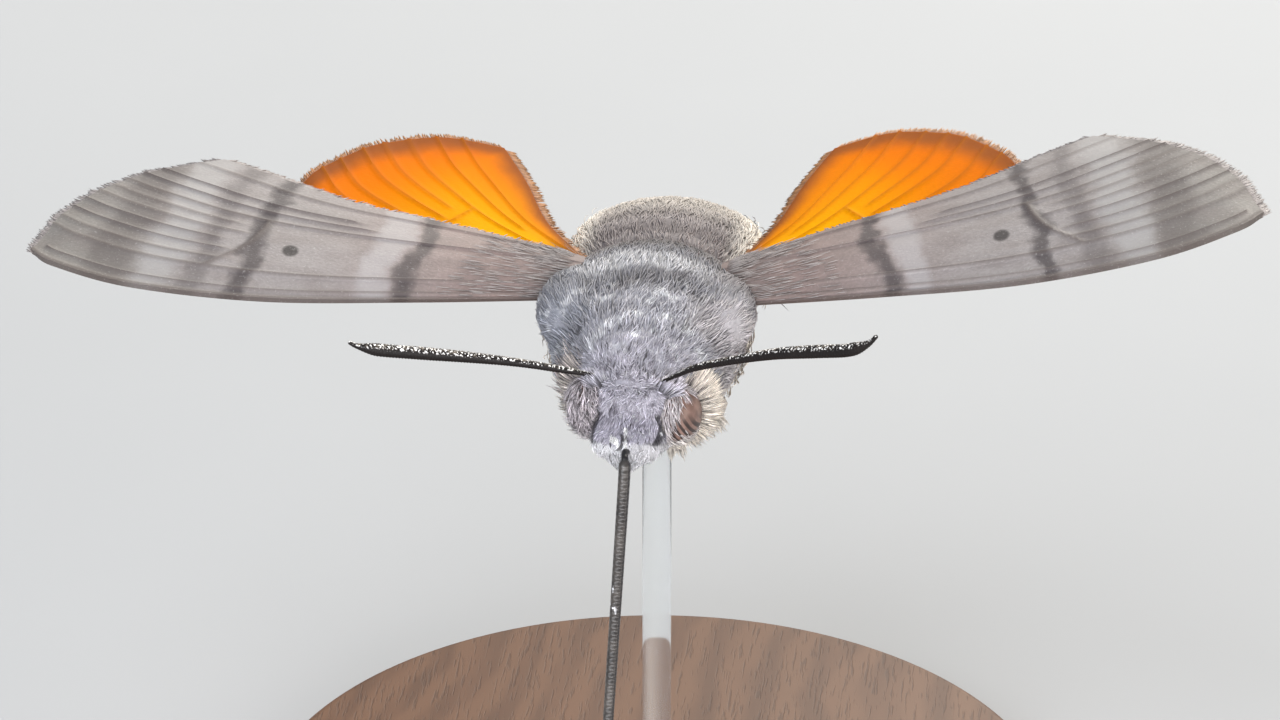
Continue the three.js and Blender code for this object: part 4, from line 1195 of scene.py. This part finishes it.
def hair_finish(name, root_color, tip_color):
    hair = Finish(name)
    shade = 0.7 + hair.attribute("tone") * 0.6
    color = hair.mix(hair.attribute("reach"), root_color, tip_color).shade(shade)
    return hair.surface(Base_Color=color, Roughness=0.6)


fore_fringe = hair_finish("forewing_fringe", (0.25, 0.215, 0.205), (0.38, 0.35, 0.34))
hind_fringe = hair_finish("hindwing_fringe", (0.26, 0.1, 0.04), (0.42, 0.22, 0.1))
for kind, finish, edging, slot, hair in (
    ("forewing", forewing_finish(), fore_fringe, "wing_grey", 640),
    ("hindwing", hindwing_finish(), hind_fringe, "wing_orange", 160),
):
    for side, word in SIDES.items():
        sheet = wing_sheet(f"{kind}_sheet_{word}", WINGS[kind], side)
        dress(sheet, finish, slot, f"{kind}_{word}")
        dress(fringe(f"{kind}_fringe_{word}", WINGS[kind], side, hair), edging, slot)

# Legs
# Six jointed legs folded back under the body: scaled thighs and shins, spurs at the ankle and long
# thin feet of five joints that end in small claws.
LEGS = {  # hip, knee, ankle and toe
    "front": ((0.9, -1.9, -2.5), (1.3, -3.1, -3.75), (1.2, -0.9, -4.3), (1, 2.1, -4.5)),
    "middle": ((1.5, -0.2, -2.5), (2.7, -0.9, -3.75), (2.7, 2, -4.4), (2.3, 5.9, -5.1)),
    "hind": ((1.3, 1.9, -2.5), (1.6, 4, -4.2), (1.55, 8.1, -5.8), (1.3, 12.6, -8.1)),
}
LEG_HAIRS = 520
scaly = Finish("leg_scales")
grain = scaly.place().noise(6)
color = scaly.mix(grain.rise(0.35, 0.7), (0.3, 0.27, 0.25), (0.62, 0.58, 0.53))
leg_skin = scaly.surface(grain, depth=0.03, Base_Color=color, Roughness=0.55)
leg_coat = hair_finish("leg_coat", (0.3, 0.27, 0.25), (0.72, 0.68, 0.62))


def limb(start, end, t, radii):
    """A tube from start to end, with a radius at each share t of the way."""
    return rod(start + (end - start) * t[:, None], radii)


def leg_hair(name, hip, knee, ankle):
    """Short scales that lie down the thigh and the shin."""
    t = chance.random(LEG_HAIRS)
    first = chance.random(LEG_HAIRS) < 0.45
    on_thigh = first[:, None]
    spine = np.where(on_thigh, hip + (knee - hip) * t[:, None], knee + (ankle - knee) * t[:, None])
    way = np.where(on_thigh, unit(knee - hip), unit(ankle - knee))
    away = unit(np.cross(way, chance.normal(size=(LEG_HAIRS, 3))))
    lie = unit(way + away * 0.25)
    length = np.where(first, 0.6, 0.42) * chance.uniform(0.7, 1.2, LEG_HAIRS)
    thick = np.full(LEG_HAIRS, 0.09)
    root = spine + away * np.where(on_thigh, 0.3, 0.2)
    places = np.stack((t + first, np.arctan2(away[:, 0], away[:, 2])), axis=1)
    return tufts(name, root, laid(away, lie), lie, length, thick, 0.1, thick, places)


for kind, joints in LEGS.items():
    for side, word in SIDES.items():
        hip, knee, ankle, toe = (np.array(p) * (side, 1, 1) for p in joints)
        t = np.linspace(0, 1, 22)
        parts = [limb(hip, knee, t, 0.3 + 0.1 * np.sin(t * math.pi))]
        t = np.linspace(-0.06, 1.02, 26)
        ends = slope_in(t, -0.06, 0.02) * slope_in(t, 1.02, 0.97)
        parts.append(limb(knee, ankle, t, 0.08 + ends * (0.17 + 0.06 * t)))
        t = np.linspace(-0.03, 1, 61)
        joint = 0.78 + 0.22 * np.abs(np.sin(t * 5 * math.pi)) ** 0.5
        parts.append(limb(ankle, toe, t, (0.17 - 0.06 * t) * joint))
        t = np.linspace(0, 1, 8)
        way = unit(toe - ankle)
        for aside in (0.35, -0.35):
            spur_end = ankle + way + np.array((aside, 0, -0.35))
            parts.append(limb(ankle, spur_end, t, 0.085 * (1.02 - t)))
            claw_end = toe + way * 0.2 + np.array((aside * 0.5, 0, -0.16))
            parts.append(limb(toe, claw_end, t, 0.05 * (1.05 - t)))
        leg = join(parts, f"{kind}_leg_{word}")
        to_place(leg)
        dress(leg, leg_skin, "coat_pale", f"leg_{kind}_{word}")
        hairs = leg_hair(f"{kind}_leg_coat_{word}", hip, knee, ankle)
        dress(hairs, leg_coat, "coat_pale")

# Stand
# A turned walnut disc with soft edges, oiled, and one clear acrylic rod pressed into it that runs
# up into the moth's body.


def turned(name, radius, low, high, sides, edge, steps):
    """An upright round bar from low to high, its edges rounded off."""
    middle = (0, 0, (low + high) / 2)
    size = {"radius": radius, "depth": high - low}
    bpy.ops.mesh.primitive_cylinder_add(vertices=sides, location=middle, **size)
    made = bpy.context.object
    made.name = name
    bpy.ops.object.transform_apply(location=True)
    shape(made, "BEVEL", width=edge, segments=steps, limit_method="ANGLE")
    bpy.ops.object.shade_smooth_by_angle(angle=math.radians(40))
    return made


base = turned("walnut_base", 17 * MM, 0, 3 * MM, sides=160, edge=0.5 * MM, steps=4)
wood = Finish("walnut_oiled")
place = wood.place()
bent = place.split()[0] + (place.noise(0.045) - 0.5) * 14
rings = (bent * 2.6 + place.noise(0.6, 3, (1, 0.1, 1)) * 2.5).wave()
pores = place.noise(9, 3, (1, 0.09, 1)).rise(0.52, 0.68)
streaks = place.noise(1.1, 4, (1, 0.05, 1)).rise(0.35, 0.7)
color = wood.paint(
    wood.mix(rings.rise(-0.9, 0.9) * 0.55, (0.088, 0.04, 0.02), (0.16, 0.08, 0.042)),
    (streaks * 0.6, (0.13, 0.062, 0.032)),
    (pores * 0.55, (0.045, 0.02, 0.011)),
)
oiled = wood.surface(1 - pores, depth=0.006, Base_Color=color, Roughness=0.6, Specular_IOR_Level=0.3)
dress(base, oiled, "walnut", "stand_base")

(_, _, foot), (_, _, top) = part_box("stand_rod")
pin = turned("clear_rod", 0.6 * MM, foot, top, sides=96, edge=0.08 * MM, steps=3)
clear = Finish("acrylic_clear")
tint = clear.mix(clear.place().noise(0.6), (0.93, 0.96, 0.97), (0.97, 0.99, 1.0))
acrylic = clear.surface(Base_Color=tint, Roughness=0.04, Transmission_Weight=0.94, IOR=1.49)
dress(pin, acrylic, "acrylic", "stand_rod")
